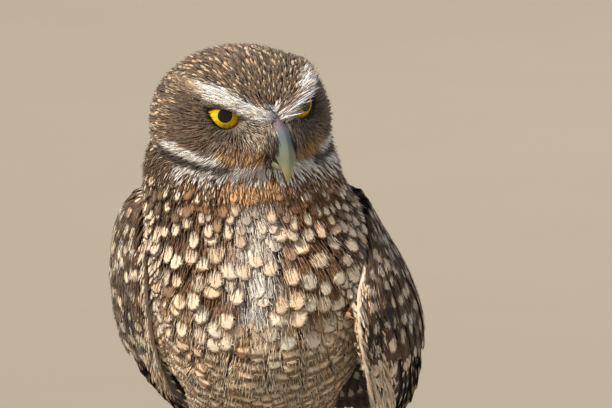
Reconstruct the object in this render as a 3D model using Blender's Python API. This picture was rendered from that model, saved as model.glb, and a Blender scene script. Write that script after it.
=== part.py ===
# Burrowing owl, life size, as a still museum model: it stands on both feet with its head turned
# to its left and tipped down, its right wing folded and its left wing hanging a little open.
# The owl faces -Y, its left side is +X, and it stands on the plane z = 0.
# Sizes in this file are millimetres, and put_mesh turns them into Blender's metres.

import math

import bpy
import numpy as np
from mathutils import Matrix

MM = 0.001
PARTING = 0.3  # gap between two named parts that meet face to face

# Head: half sizes of its rounded block, and how it sits and turns on the neck
HEAD_AT = (-8.6, -6.0, 177.0)
HEAD_TURN, HEAD_TIP, HEAD_TILT = 27.0, 8.8, -3.4
HEAD_HALF_WIDTH, HEAD_UP, HEAD_DOWN = 33.2, 27.2, 27.0
HEAD_FRONT, HEAD_BACK = 31.0, 30.0
HEAD_SQUARENESS = 2.1

# Eyes: where the front of each eyeball lies in the head, and its size
EYE_OUT, EYE_FORWARD, EYE_UP = 16.6, 22.2, 9.6
EYE_RADIUS, EYE_SPLAY = 8.0, 22.0
LID_THICKNESS = 0.9

# Wings: the fleshy core reaches this share of the folded wing's length. Its thickness at the
# shoulder, the share of it lost toward the core's end, and how far it lies under the feathers
WING_CORE_END = 0.60
WING_CORE_THICK, WING_CORE_TAPER = 9.0, 0.5
CORE_UNDER = 0.8

# Feet: where each one's middle stands, and how high the toes' middles lie
FOOT_APART, FOOT_Y = 19.0, 9.0
TOE_HEIGHT = 2.4


# Mesh making


def put_mesh(name, points, faces, material=None):
    """A new object from points in millimetres."""
    mesh = bpy.data.meshes.new(name)
    mesh.from_pydata((np.asarray(points, float) * MM).tolist(), [], faces)
    mesh.update()
    mesh.shade_smooth()
    obj = bpy.data.objects.new(name, mesh)
    bpy.context.scene.collection.objects.link(obj)
    if material:
        mesh.materials.append(material)
    return obj


def material_of(name, colour, roughness):
    made = bpy.data.materials.new(name)
    made.use_nodes = True
    shader = made.node_tree.nodes["Principled BSDF"]
    shader.inputs["Base Color"].default_value = (*colour, 1.0)
    shader.inputs["Roughness"].default_value = roughness
    shader.inputs["Metallic"].default_value = 0.0
    made.diffuse_color = (*colour, 1.0)
    return made


def read_through(stations, t):
    """A smooth curve through rows of numbers, read at t from 0, the first row, to 1, the last."""
    rows = np.asarray(stations, float)
    last = len(rows) - 1
    place = min(max(t, 0.0), 1.0) * last
    i = min(int(place), last - 1)
    f = place - i
    a, b = rows[i], rows[i + 1]
    before = rows[i - 1] if i else 2 * a - b
    after = rows[i + 2] if i + 2 <= last else 2 * b - a
    slope_a, slope_b = (b - before) / 2, (after - a) / 2
    return (
        (2 * f**3 - 3 * f**2 + 1) * a
        + (f**3 - 2 * f**2 + f) * slope_a
        + (3 * f**2 - 2 * f**3) * b
        + (f**3 - f**2) * slope_b
    )


def unit(v):
    v = np.asarray(v, float)
    return v / np.linalg.norm(v)


def loft(rings):
    """Points and triangles of a closed skin over rings of equally many points. The two ends are closed
    by strips between opposite sides of the ring, which also fit a ring shaped like a crescent."""
    count = len(rings[0])
    points = [p for ring in rings for p in ring]
    faces = []
    for k in range(len(rings) - 1):
        for j in range(count):
            a, b = k * count + j, k * count + (j + 1) % count
            c, d = a + count, b + count
            faces += [(a, b, d), (a, d, c)]
    end = (len(rings) - 1) * count
    for j in range(count // 2):
        near, far = (j, j + 1), (count - j - 1, (count - j) % count)
        for corners in ((near[0], near[1], far[0]), (near[0], far[0], far[1])):
            if len(set(corners)) == 3:
                faces += [corners[::-1], tuple(end + corner for corner in corners)]
    return np.array(points), faces


def facing_out(points, faces):
    """The same faces, turned round where the solid they enclose came out with negative volume."""
    corners = np.asarray(points)[np.asarray(faces)]
    inside_out = np.einsum("ij,ij->i", corners[:, 0], np.cross(corners[:, 1], corners[:, 2])).sum() < 0
    return [face[::-1] for face in faces] if inside_out else faces


def solid(name, rings, material=None):
    points, faces = loft(rings)
    centred = points - points.mean(axis=0)
    return put_mesh(name, points, facing_out(centred, faces), material)


def ball(name, centre, radii, turn=None, rows=10, around=16):
    """An ellipsoid, turned by a 3 by 3 matrix."""
    turn = np.eye(3) if turn is None else turn
    rings = []
    for k in range(1, rows):
        polar = math.pi * k / rows
        ring = []
        for j in range(around):
            angle = 2 * math.pi * j / around
            p = np.array(
                [
                    radii[0] * math.sin(polar) * math.cos(angle),
                    radii[1] * math.cos(polar),
                    radii[2] * math.sin(polar) * math.sin(angle),
                ]
            )
            ring.append(np.asarray(centre) + turn @ p)
        rings.append(ring)
    return solid(name, rings)


# Joining and cutting


def apply_boolean(target, operation, other=None, collection=None):
    step = target.modifiers.new("join", "BOOLEAN")
    step.operation = operation
    step.solver = "EXACT"
    if collection:
        step.operand_type = "COLLECTION"
        step.collection = collection
    else:
        step.object = other
    graph = bpy.context.evaluated_depsgraph_get()
    made = bpy.data.meshes.new_from_object(target.evaluated_get(graph))
    target.modifiers.clear()
    old = target.data
    target.data = made
    bpy.data.meshes.remove(old)


def keep_largest(obj):
    """Only the closed surface with most faces stays, which drops scraps left by a cut."""
    mesh = obj.data
    parent = list(range(len(mesh.vertices)))

    def root(i):
        while parent[i] != i:
            parent[i] = parent[parent[i]]
            i = parent[i]
        return i

    for edge in mesh.edges:
        a, b = root(edge.vertices[0]), root(edge.vertices[1])
        parent[a] = b
    sizes = {}
    for face in mesh.polygons:
        r = root(face.vertices[0])
        sizes[r] = sizes.get(r, 0) + 1
    best = max(sizes, key=sizes.get)
    index, points, faces = {}, [], []
    for face in mesh.polygons:
        if root(face.vertices[0]) != best:
            continue
        for v in face.vertices:
            if v not in index:
                index[v] = len(points)
                points.append(mesh.vertices[v].co.copy())
        faces.append([index[v] for v in face.vertices])
    kept = bpy.data.meshes.new(obj.name)
    kept.from_pydata(points, [], faces)
    kept.shade_smooth()
    for material in mesh.materials:
        kept.materials.append(material)
    obj.data = kept
    bpy.data.meshes.remove(mesh)


def fuse(base, pieces):
    """Joins the pieces to the base with one union, and removes them."""
    group = bpy.data.collections.new("fusing")
    bpy.context.scene.collection.children.link(group)
    for piece in pieces:
        bpy.context.scene.collection.objects.unlink(piece)
        group.objects.link(piece)
    apply_boolean(base, "UNION", collection=group)
    for piece in pieces:
        bpy.data.objects.remove(piece)
    bpy.data.collections.remove(group)
    keep_largest(base)


def carve(target, *cutters):
    """Cuts the cutters' shapes out of the target."""
    for cutter in cutters:
        apply_boolean(target, "DIFFERENCE", other=cutter)
    keep_largest(target)


def discard(*objects):
    for obj in objects:
        bpy.data.objects.remove(obj)


# Body: one smooth trunk from the neck to the root of the tail, parted by thin cuts

# Each row: middle x, y, z, half width, depth to the front, depth to the back
TRUNK = (
    (-8.0, -3.0, 172.0, 32.5, 26.0, 28.0),
    (-7.8, -3.0, 160.0, 35.6, 30.0, 31.5),
    (-5.8, -1.0, 148.0, 38.0, 33.0, 34.0),
    (-2.5, 2.0, 135.0, 42.5, 37.5, 37.0),
    (-1.0, 4.0, 121.0, 43.5, 41.0, 39.0),
    (-0.5, 8.0, 107.0, 41.5, 41.0, 39.0),
    (0.0, 14.0, 93.0, 37.5, 38.0, 36.0),
    (0.0, 23.0, 81.0, 31.0, 30.0, 29.0),
    (0.0, 35.0, 71.0, 23.0, 19.0, 20.0),
    (0.0, 47.0, 63.0, 15.5, 11.0, 11.0),
    (0.0, 56.0, 58.0, 11.0, 6.5, 6.5),
)
# Where along the trunk each part starts and ends, and how many rings it has
NECK_SPAN = (0.0, 0.26, 6)
TORSO_SPAN = (0.262, 1.0, 17)
TRUNK_SQUARENESS = 2.2


def trunk_axis(t):
    """Direction of the trunk's axis at t, in the plane of symmetry."""
    step = 0.01
    run = read_through(TRUNK, t + step)[:3] - read_through(TRUNK, t - step)[:3]
    return unit([0.0, run[1], run[2]])


def trunk_ring(t, grow=0.0, around=30):
    x, y, z, half_width, front, back = read_through(TRUNK, t)
    axis = trunk_axis(t)
    belly_side = np.array([0.0, axis[2], -axis[1]])
    ring = []
    for j in range(around):
        angle = 2 * math.pi * j / around
        c, s = math.cos(angle), math.sin(angle)
        wide = math.copysign(abs(c) ** (2 / TRUNK_SQUARENESS), c) * (half_width + grow)
        deep = math.copysign(abs(s) ** (2 / TRUNK_SQUARENESS), s) * ((front if s > 0 else back) + grow)
        ring.append(np.array([x + wide, y, z]) + belly_side * deep)
    return ring


def trunk_solid(name, start, end, count, grow=0.0, material=None):
    """A stretch of the trunk. Where it is grown, it is longer at both ends too."""
    rings = []
    for k in range(count):
        rings.append(trunk_ring(start + (end - start) * k / (count - 1), grow))
    if grow:
        rings.insert(0, [p - trunk_axis(start) * grow for p in rings[0]])
        rings.append([p + trunk_axis(end) * grow for p in rings[-1]])
    return solid(name, rings, material)


# Head

HEAD_CENTRE = np.array(HEAD_AT)


def turn_about(axis, degrees):
    a = math.radians(degrees)
    c, s = math.cos(a), math.sin(a)
    if axis == "X":
        return np.array([[1, 0, 0], [0, c, -s], [0, s, c]])
    if axis == "Y":
        return np.array([[c, 0, s], [0, 1, 0], [-s, 0, c]])
    return np.array([[c, -s, 0], [s, c, 0], [0, 0, 1]])


HEAD_FRAME = turn_about("Z", HEAD_TURN) @ turn_about("X", HEAD_TIP) @ turn_about("Y", HEAD_TILT)


def in_head(p):
    """A point given in the head's own frame, as a point of the model."""
    return HEAD_CENTRE + HEAD_FRAME @ np.asarray(p, float)


def hill(x, z, at, wide, tall):
    """A smooth swelling of height 1, seen from the front of the head."""
    return math.exp(-(((x - at[0]) / wide) ** 2) - ((z - at[1]) / tall) ** 2)


def ridge(x, z, start, end, wide):
    """A smooth ridge of height 1 along a straight line, seen from the front of the head."""
    a, b = np.array(start), np.array(end)
    along = min(max(np.dot((x - a[0], z - a[1]), b - a) / np.dot(b - a, b - a), 0.0), 1.0)
    away = math.hypot(x - a[0] - along * (b - a)[0], z - a[1] - along * (b - a)[1])
    return math.exp(-((away / wide) ** 2))


def face_relief(x, z):
    """How far the face stands out of the plain head, in millimetres, at a place seen from the front."""
    x = abs(x)
    brow = 3.4 * ridge(x, z, (3.5, 11.5), (24.0, 20.5), 3.6)
    socket = -3.4 * hill(x, z, (16.5, 7.5), 8.0, 6.5)
    bill_mound = 2.6 * hill(x, z, (0.0, 1.0), 8.0, 9.0)
    cheek = 1.8 * hill(x, z, (15.0, -9.0), 9.0, 7.0)
    disc_rim = 1.2 * ridge(x, z, (27.0, 8.0), (20.0, -16.0), 3.0)
    chin = 1.0 * hill(x, z, (0.0, -16.0), 12.0, 4.0)
    return brow + socket + bill_mound + cheek + disc_rim + chin


def head_point(direction, grow):
    dx, dy, dz = direction
    deep = HEAD_FRONT if dy < 0 else HEAD_BACK
    tall = HEAD_UP if dz > 0 else HEAD_DOWN
    n = HEAD_SQUARENESS
    size = (abs(dx / HEAD_HALF_WIDTH) ** n + abs(dy / deep) ** n + abs(dz / tall) ** n) ** (-1 / n)
    p = size * np.array([dx, dy, dz])
    out = grow
    if dy < 0.25:
        facing = min(max((0.25 - dy) / 0.5, 0.0), 1.0)
        out += face_relief(p[0], p[2]) * facing * facing * (3 - 2 * facing)
    return in_head(p + unit(p) * out)


def head_solid(name, rows=24, around=34, grow=0.0, material=None):
    """Rings run round the line from bill to nape, closest together on the face."""
    rings = []
    for k in range(1, rows):
        share = k / rows
        polar = math.pi * (0.72 * share + 0.28 * share * share)
        ring = []
        for j in range(around):
            angle = 2 * math.pi * j / around
            ring.append(
                head_point(
                    (
                        math.sin(polar) * math.cos(angle),
                        -math.cos(polar),
                        math.sin(polar) * math.sin(angle),
                    ),
                    grow,
                )
            )
        rings.append(ring)
    return solid(name, rings, material)


# Eyes and lids. The lid's opening is drawn across each eye: a corner toward the bill and an outer
# corner, a nearly straight upper lid that slopes down to the bill, and a rounded lower lid.

LID_INNER, LID_OUTER = np.array([6.1, -0.6]), np.array([-6.2, 1.5])
UPPER_LID_RISE, LOWER_LID_DROP = 2.0, 5.2


def lid_opening(count=20):
    """Points of the opening, as millimetres toward the bill and up."""
    outline = []
    for k in range(count):
        share = k / count * 2
        upper = share < 1
        along = share if upper else 2 - share
        lens = math.sin(math.pi * along) ** 0.85
        edge = LID_OUTER + (LID_INNER - LID_OUTER) * along
        outline.append(edge + np.array([0.0, UPPER_LID_RISE if upper else -LOWER_LID_DROP]) * lens)
    return outline


class Eye:
    """Where one eye lies. Side is -1 for the right eye and +1 for the left."""

    def __init__(self, side):
        splay = math.radians(EYE_SPLAY)
        self.side = side
        self.pole = np.array([side * EYE_OUT, -EYE_FORWARD, EYE_UP])
        self.axis = np.array([side * math.sin(splay), -math.cos(splay), 0.0])
        self.to_bill = np.array([-side * math.cos(splay), -math.sin(splay), 0.0])
        self.middle = self.pole - EYE_RADIUS * self.axis
        self.name = "right" if side < 0 else "left"

    def ball(self, name, grow=0.0, rows=11, around=16):
        frame = HEAD_FRAME @ np.column_stack([self.to_bill, -self.axis, [0.0, 0.0, 1.0]])
        size = EYE_RADIUS + grow
        return ball(name, in_head(self.middle), (size, size, size), frame, rows, around)

    def opening_cutter(self, name):
        rings = []
        for depth in (2.0, 14.0):
            rings.append(
                [
                    in_head(self.middle + self.axis * depth + self.to_bill * x + np.array([0, 0, 1.0]) * z)
                    for x, z in lid_opening()
                ]
            )
        return solid(name, rings)


# Bill. Each row is a place along the upper edge and the lower edge, both as forward and up in the
# head, and the half width there.

UPPER_BILL = (
    (27.0, 10.0, 27.0, -2.5, 5.4),
    (31.5, 10.2, 30.0, -3.0, 5.4),
    (35.2, 8.6, 32.5, -3.6, 5.0),
    (38.4, 5.6, 35.0, -4.2, 4.6),
    (40.8, 1.4, 37.4, -5.0, 4.0),
    (42.1, -3.2, 39.4, -6.3, 3.0),
    (42.3, -7.2, 40.3, -8.6, 1.8),
    (41.4, -10.8, 40.6, -11.1, 0.55),
)
LOWER_BILL = (
    (27.0, -2.9, 27.0, -8.5, 4.2),
    (30.0, -3.4, 29.5, -8.6, 4.0),
    (32.5, -4.0, 32.0, -8.6, 3.6),
    (35.0, -4.6, 34.5, -8.6, 3.0),
    (37.4, -5.5, 36.8, -8.4, 2.0),
    (38.6, -6.6, 38.3, -7.8, 0.8),
)
NOSTRIL_AT, NOSTRIL_SWELL, NOSTRIL_HOLE = (2.5, -33.8, 5.0), 2.7, 1.0


def bill_rings(table, rings, around=14, ridge_sharpness=0.75):
    made = []
    for k in range(rings):
        f_top, z_top, f_low, z_low, half_width = read_through(table, k / (rings - 1))
        top, low = np.array([0, -f_top, z_top]), np.array([0, -f_low, z_low])
        ring = []
        for j in range(around):
            angle = 2 * math.pi * j / around
            height = 0.5 + 0.5 * math.sin(angle)
            narrow = 1 - (1 - ridge_sharpness) * height
            p = low + (top - low) * height + np.array([half_width * narrow * math.cos(angle), 0, 0])
            ring.append(in_head(p))
        made.append(ring)
    return made


def upper_bill(material):
    bill = solid("bill_upper", bill_rings(UPPER_BILL, 14), material)
    swellings, holes = [], []
    for side in (-1, 1):
        at = np.array([side * NOSTRIL_AT[0], NOSTRIL_AT[1], NOSTRIL_AT[2]])
        size = NOSTRIL_SWELL
        swellings.append(ball(f"swelling{side}", in_head(at), (size, size * 1.35, size), HEAD_FRAME, 6, 10))
        hole = at + np.array([side * 2.0, -2.2, 0.3])
        size = NOSTRIL_HOLE
        holes.append(ball(f"nostril{side}", in_head(hole), (size * 1.1, size * 1.2, size), HEAD_FRAME, 6, 8))
    fuse(bill, swellings)
    carve(bill, *holes)
    discard(*holes)
    return bill


# Folded wings. A wing is a shield along the flank: a front edge and a rear edge, and how far the
# shield stands out between them. Along it 0 is the shoulder and 1 the wing tip, and across it 0 is
# the front edge and 1 the rear edge.

RIGHT_FRONT_EDGE = (
    (-39.0, -8.0, 144.0),
    (-40.5, -15.0, 128.0),
    (-39.5, -16.0, 112.0),
    (-37.5, -9.0, 95.0),
    (-34.0, 6.0, 78.0),
    (-28.0, 33.0, 59.0),
    (-21.0, 61.0, 39.0),
    (-10.0, 95.0, 18.0),
)
RIGHT_REAR_EDGE = (
    (-26.0, 30.0, 150.0),
    (-24.0, 38.0, 138.0),
    (-20.5, 44.0, 122.0),
    (-17.0, 50.5, 105.0),
    (-13.5, 58.0, 88.0),
    (-10.0, 70.0, 66.0),
    (-6.5, 86.0, 49.0),
    (-3.0, 104.0, 30.0),
)
RIGHT_BULGE = ((14.0,), (20.5,), (24.5,), (26.5,), (27.0,), (25.0,), (14.0,), (1.5,))
LEFT_FRONT_EDGE = (
    (36.0, 2.0, 140.0),
    (37.0, -13.0, 127.0),
    (32.5, -26.0, 113.0),
    (32.5, -27.0, 97.0),
    (35.5, -17.0, 79.0),
    (38.0, 6.0, 58.0),
    (35.0, 44.0, 34.0),
    (30.0, 90.0, 11.0),
)
LEFT_REAR_EDGE = (
    (24.0, 31.0, 150.0),
    (25.0, 39.0, 138.0),
    (25.0, 46.0, 120.0),
    (24.0, 53.0, 103.0),
    (23.0, 61.0, 85.0),
    (24.0, 72.0, 62.0),
    (25.0, 87.0, 43.0),
    (25.0, 101.0, 23.0),
)
LEFT_BULGE = ((5.0,), (11.0,), (23.0,), (29.5,), (29.5,), (24.0,), (12.0,), (1.5,))


class Wing:
    def __init__(self, name, side, front_edge, rear_edge, bulge):
        self.name, self.side = name, side
        self.front_edge, self.rear_edge, self.bulge = front_edge, rear_edge, bulge

    def chord(self, along, across):
        front, rear = read_through(self.front_edge, along), read_through(self.rear_edge, along)
        return front + (rear - front) * across

    def outward(self, along):
        """The way the shield bulges at this place along the wing."""
        across_way = self.chord(along, 1.0) - self.chord(along, 0.0)
        length_way = self.chord(1.0, 0.5) - self.chord(0.0, 0.5)
        out = unit(np.cross(length_way, across_way))
        return out if out[0] * self.side > 0 else -out

    def surface(self, along, across):
        round_ = 4 * across * (1 - across)
        stand = read_through(self.bulge, along)[0] * round_**0.8
        return self.chord(along, across) + self.outward(along) * stand

    def normal(self, along, across):
        step = 0.015
        lo, hi = max(across - step, 0.02), min(across + step, 0.98)
        a = self.surface(min(along + step, 1), across) - self.surface(max(along - step, 0), across)
        b = self.surface(along, hi) - self.surface(along, lo)
        n = unit(np.cross(a, b))
        return n if np.dot(n, self.outward(along)) > 0 else -n

    def core(self, material, stations=9, across=8):
        """The fleshy part of the wing under its feathers."""
        rings = []
        for k in range(stations):
            share = k / (stations - 1)
            along = WING_CORE_END * share
            thick = WING_CORE_THICK * (1 - WING_CORE_TAPER * share**2)
            outer = [j / (across - 1) for j in range(across)]
            out = self.outward(along)
            ring = [self.surface(along, v) - out * CORE_UNDER for v in outer]
            for v in outer[-2:0:-1]:
                ring.append(self.surface(along, v) - out * (CORE_UNDER + thick * (4 * v * (1 - v)) ** 0.4))
            rings.append(ring)
        return solid(self.name, rings, material)

    def feather(self, name, root, tip, half_width, lift, roll, sink):
        """One vane lying along the shield from root to tip, each given as along and across."""
        centres, sides, ups = [], [], []
        root, tip = np.array(root), np.array(tip)
        for s in VANE_STATIONS:
            along, across = root + (tip - root) * s
            across = min(max(across, 0.02), 0.98)
            ups.append(self.normal(along, across))
            height = -sink + (sink + lift) * min(s / 0.45, 1.0)
            centres.append(self.surface(along, across) + ups[-1] * height)
        for k in range(len(centres)):
            run = centres[min(k + 1, len(centres) - 1)] - centres[max(k - 1, 0)]
            flat = unit(np.cross(run, ups[k]))
            lean = math.radians(roll)
            sides.append(flat * math.cos(lean) + ups[k] * math.sin(lean))
            ups[k] = ups[k] * math.cos(lean) - flat * math.sin(lean)
        return vane(name, centres, sides, ups, half_width)


VANE_STATIONS = (0.0, 0.3, 0.62, 0.88, 1.0)
VANE_WIDTHS = (0.5, 0.95, 1.0, 0.68)
VANE_CAMBER, VANE_THICK = 0.10, 1.1


def vane(name, centres, sides, ups, half_width):
    """A feather's vane as a closed plate, thickest along its shaft and cambered, with a blunt point.
    Upper and lower faces are split into triangles alike."""
    points, faces = [], []
    for k, share in enumerate(VANE_WIDTHS):
        wide = half_width * share
        droop = ups[k] * VANE_CAMBER * wide
        points += [
            centres[k] - sides[k] * wide - droop,
            centres[k] + ups[k] * VANE_THICK / 2,
            centres[k] + sides[k] * wide - droop,
            centres[k] - ups[k] * VANE_THICK / 2,
        ]
    tip = len(points)
    points.append(centres[-1])
    for k in range(len(VANE_WIDTHS) - 1):
        left, top, right, low = range(4 * k, 4 * k + 4)
        faces += [(left, top, top + 4), (left, top + 4, left + 4)]
        faces += [(top, right, top + 4), (right, right + 4, top + 4)]
        faces += [(right, low, low + 4), (right, low + 4, right + 4)]
        faces += [(low, left, low + 4), (left, left + 4, low + 4)]
    left, top, right, low = range(tip - 4, tip)
    faces += [(left, top, tip), (top, right, tip), (right, low, tip), (low, left, tip)]
    faces += [(0, 3, 1), (1, 3, 2)]
    points = np.array(points)
    return put_mesh(name, points, facing_out(points - points.mean(axis=0), faces))


# Each tier: name, number, how far along its first and last roots and tips lie, where across they
# start and end, half width, and how far its tips stand off the wing
TIERS = (
    ("primary", 7, (0.44, 0.44), (1.0, 0.80), (0.08, 0.44), (0.20, 0.66), 7.0, (-5.2, 0.4)),
    ("secondary", 6, (0.40, 0.40), (0.74, 0.82), (0.48, 0.93), (0.56, 0.97), 7.6, (0.9, 1.4)),
    ("greater_covert", 7, (0.29, 0.29), (0.54, 0.58), (0.06, 0.94), (0.09, 0.97), 7.4, (1.8, 1.8)),
    ("median_covert", 6, (0.16, 0.16), (0.38, 0.38), (0.09, 0.92), (0.10, 0.93), 7.9, (2.2, 2.2)),
    ("lesser_covert", 5, (0.04, 0.04), (0.225, 0.225), (0.13, 0.88), (0.14, 0.89), 8.0, (2.2, 2.2)),
)
SHINGLE_ROLL = 8.0
ROOT_SINK = {"primary": 4.0, "secondary": 3.0}
COVERT_SINK = 1.4
SPREAD_OF_LENGTH, SPREAD_OF_PLACE, WING_SEED = 0.012, 0.008, 20
ALULA_ROOT, ALULA_TIP, ALULA_HALF_WIDTH, ALULA_LIFT = (0.27, 0.05), (0.50, 0.06), 4.2, 1.6


def wing_feathers(wing):
    """The wing's tiers, from the long flight feathers up to the small coverts of the shoulder."""
    draw = np.random.default_rng(WING_SEED + wing.side)
    made = []
    for name, count, root_along, tip_along, root_across, tip_across, half_width, lift in TIERS:
        for i in range(count):
            share = i / (count - 1)
            at = [a + (b - a) * share for a, b in (root_along, root_across, tip_along, tip_across, lift)]
            at[2] = min(at[2] + draw.normal(0, SPREAD_OF_LENGTH), 1.0)
            at[3] += draw.normal(0, SPREAD_OF_PLACE)
            sink = ROOT_SINK.get(name, COVERT_SINK)
            made.append(wing.feather(f"{name}{i}", at[0:2], at[2:4], half_width, at[4], SHINGLE_ROLL, sink))
    made.append(wing.feather("alula", ALULA_ROOT, ALULA_TIP, ALULA_HALF_WIDTH, ALULA_LIFT, 0.0, COVERT_SINK))
    return made


def build_wing(wing, keep_clear, material):
    body = wing.core(material)
    fuse(body, wing_feathers(wing))
    carve(body, *keep_clear)


# Tail: twelve flight feathers in a narrow fan, the middle pair on top, growing from a short fleshy
# core. Each row of the core is a share of the tail's length, a half width and a half depth.

TAIL_ROOT, TAIL_TIP = np.array([0.0, 55.0, 58.6]), np.array([0.0, 93.0, 12.5])
TAIL_CORE = ((-0.10, 11.5, 7.0), (0.1, 11.0, 6.0), (0.22, 9.5, 4.0), (0.36, 7.0, 1.6))
TAIL_PAIRS = 6
TAIL_ROOT_HALF, TAIL_TIP_HALF = 5.5, 14.0
RECTRIX_HALF_WIDTH, RECTRIX_LAYER, OUTER_RECTRIX_SHORTER = 5.6, 0.62, 5.0


def build_tail(keep_clear, material):
    run = unit(TAIL_TIP - TAIL_ROOT)
    up = unit(np.cross([1.0, 0, 0], run))
    rings = []
    for share, wide, deep in TAIL_CORE:
        middle = TAIL_ROOT + (TAIL_TIP - TAIL_ROOT) * share
        ring = []
        for j in range(14):
            angle = 2 * math.pi * j / 14
            ring.append(middle + np.array([wide * math.cos(angle), 0, 0]) + up * deep * math.sin(angle))
        rings.append(ring)
    tail = solid("tail", rings, material)
    feathers = []
    for pair in range(TAIL_PAIRS):
        share = (pair + 0.5) / TAIL_PAIRS
        for side in (-1, 1):
            layer = RECTRIX_LAYER * (TAIL_PAIRS / 2 - pair - 0.25 + 0.25 * side)
            root = TAIL_ROOT + np.array([side * TAIL_ROOT_HALF * share, 0, 0]) + up * layer
            tip = TAIL_TIP + np.array([side * TAIL_TIP_HALF * share, 0, 0]) + up * layer
            tip -= run * OUTER_RECTRIX_SHORTER * share**2
            centres = [root + (tip - root) * s for s in VANE_STATIONS]
            across = unit(np.cross(run, up))
            count = len(VANE_STATIONS)
            feathers.append(vane(f"rectrix{pair}{side}", centres, [across] * count, [up] * count, RECTRIX_HALF_WIDTH))
    fuse(tail, feathers)
    carve(tail, *keep_clear)


# Legs


def tube_rings(path, radii, around, start=0.0, end=1.0, count=10):
    """Rings round a stretch of the smooth path through points, with radii at those points."""
    rings = []
    for k in range(count):
        t = start + (end - start) * k / (count - 1)
        at = read_through(path, t)
        run = unit(read_through(path, t + 0.02) - read_through(path, t - 0.02))
        side = unit(np.cross(run, [0, 1.0, 0]))
        other = np.cross(side, run)
        radius = read_through([[r] for r in radii], t)[0]
        ring = []
        for j in range(around):
            angle = 2 * math.pi * j / around
            ring.append(at + radius * (side * math.cos(angle) + other * math.sin(angle)))
        rings.append(ring)
    return rings


# Each leg from the hip to the sole: middle x, y, z, and radius. Thin cuts part thigh, tarsus and foot
LEG_PATH = (
    (14.0, 4.0, 94.0),
    (15.0, 11.0, 76.0),
    (16.2, 18.0, 60.0),
    (17.2, 21.5, 46.5),
    (17.9, 18.0, 33.0),
    (18.5, 13.2, 20.0),
    (18.9, 9.8, 9.0),
    (19.0, 9.0, 3.0),
)
LEG_RADII = (19.0, 15.0, 9.5, 5.3, 3.9, 3.4, 4.0, 4.3)
ANKLE, INSTEP, LEG_CUT = 0.43, 0.85, 0.0018

# Toes: name, direction from straight ahead toward the outside in degrees, length, radius at root
TOES = (
    ("inner", -20.0, 20.0, 2.9),
    ("middle", 12.0, 23.5, 3.0),
    ("outer", 68.0, 19.0, 2.8),
    ("hind", 178.0, 13.0, 2.7),
)
TOE_TAPER, TOE_JOINT_SWELL, TOE_ARCH = 0.28, 0.09, 1.2
PAD_RADII = (5.0, 5.4, 3.4)
CLAW_LENGTH, CLAW_RADIUS, CLAW_TIP_RADIUS, CLAW_BEND = 8.0, 1.45, 0.18, math.radians(58.0)


def leg_path(side):
    return [(side * x, y, z) for x, y, z in LEG_PATH]


def toe_way(side, degrees):
    a = math.radians(degrees)
    return np.array([side * math.sin(a), -math.cos(a), 0.0])


def toe_start(side):
    return np.array([side * FOOT_APART, FOOT_Y, TOE_HEIGHT])


def upright_ring(at, way, radius, around, bend=0.0):
    """A ring across a toe or claw that runs along way and is bent down by an angle."""
    across = np.cross(way, [0, 0, 1.0])
    up = np.array([0, 0, 1.0]) * math.cos(bend) + way * math.sin(bend)
    ring = []
    for j in range(around):
        angle = 2 * math.pi * j / around
        ring.append(at + radius * (across * math.cos(angle) + up * math.sin(angle)))
    return ring


def toe_rings(start, way, length, radius, count=7):
    rings = []
    for k in range(count):
        share = k / (count - 1)
        arch = TOE_ARCH * math.sin(math.pi * share) * (1 - share)
        at = start + way * length * share + np.array([0, 0, arch])
        swell = 1.0 + TOE_JOINT_SWELL * math.cos(share * 6 * math.pi)
        rings.append(upright_ring(at, way, radius * (1 - TOE_TAPER * share) * swell, 10))
    return rings


def build_foot(side, floor_cutter, material):
    word = "right" if side < 0 else "left"
    rings = tube_rings(leg_path(side), LEG_RADII, 12, start=INSTEP + LEG_CUT, count=5)
    foot = solid(f"foot_{word}", rings, material)
    start = toe_start(side)
    pieces = [ball(f"pad_{word}", start, PAD_RADII, rows=6, around=12)]
    for name, degrees, length, radius in TOES:
        pieces.append(solid(f"toe_{name}", toe_rings(start, toe_way(side, degrees), length, radius)))
    fuse(foot, pieces)
    carve(foot, floor_cutter)


def build_claws(side, material):
    word = "right" if side < 0 else "left"
    for name, degrees, length, _ in TOES:
        way = toe_way(side, degrees)
        start = toe_start(side) + way * (length + PARTING)
        rings = []
        for share in (0.0, 0.3, 0.6, 0.85, 1.0):
            bend = CLAW_BEND * share
            drop = -0.55 * CLAW_LENGTH * (1 - math.cos(bend))
            reach = 0.92 * CLAW_LENGTH * math.sin(bend) / math.sin(CLAW_BEND)
            radius = CLAW_RADIUS * (1 - share) ** 0.7 + CLAW_TIP_RADIUS
            rings.append(upright_ring(start + way * reach + np.array([0, 0, drop]), way, radius, 8, bend))
        solid(f"claw_{word}_{name}", rings, material)


def build_leg(side, keep_clear, feathered, scaly):
    word = "right" if side < 0 else "left"
    thigh = tube_rings(leg_path(side), LEG_RADII, 18, end=ANKLE - LEG_CUT)
    carve(solid(f"thigh_{word}", thigh, feathered), *keep_clear)
    tarsus = tube_rings(leg_path(side), LEG_RADII, 12, start=ANKLE + LEG_CUT, end=INSTEP - LEG_CUT)
    solid(f"tarsus_{word}", tarsus, scaly)


def stand_over_origin():
    """Slides the whole model sideways until the middle of its box is over the origin."""
    corners = [corner for obj in bpy.data.objects for corner in obj.bound_box]
    low, high = np.min(corners, axis=0), np.max(corners, axis=0)
    slide = Matrix.Translation((-(low[0] + high[0]) / 2, -(low[1] + high[1]) / 2, 0.0))
    for obj in bpy.data.objects:
        obj.data.transform(slide)


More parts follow.
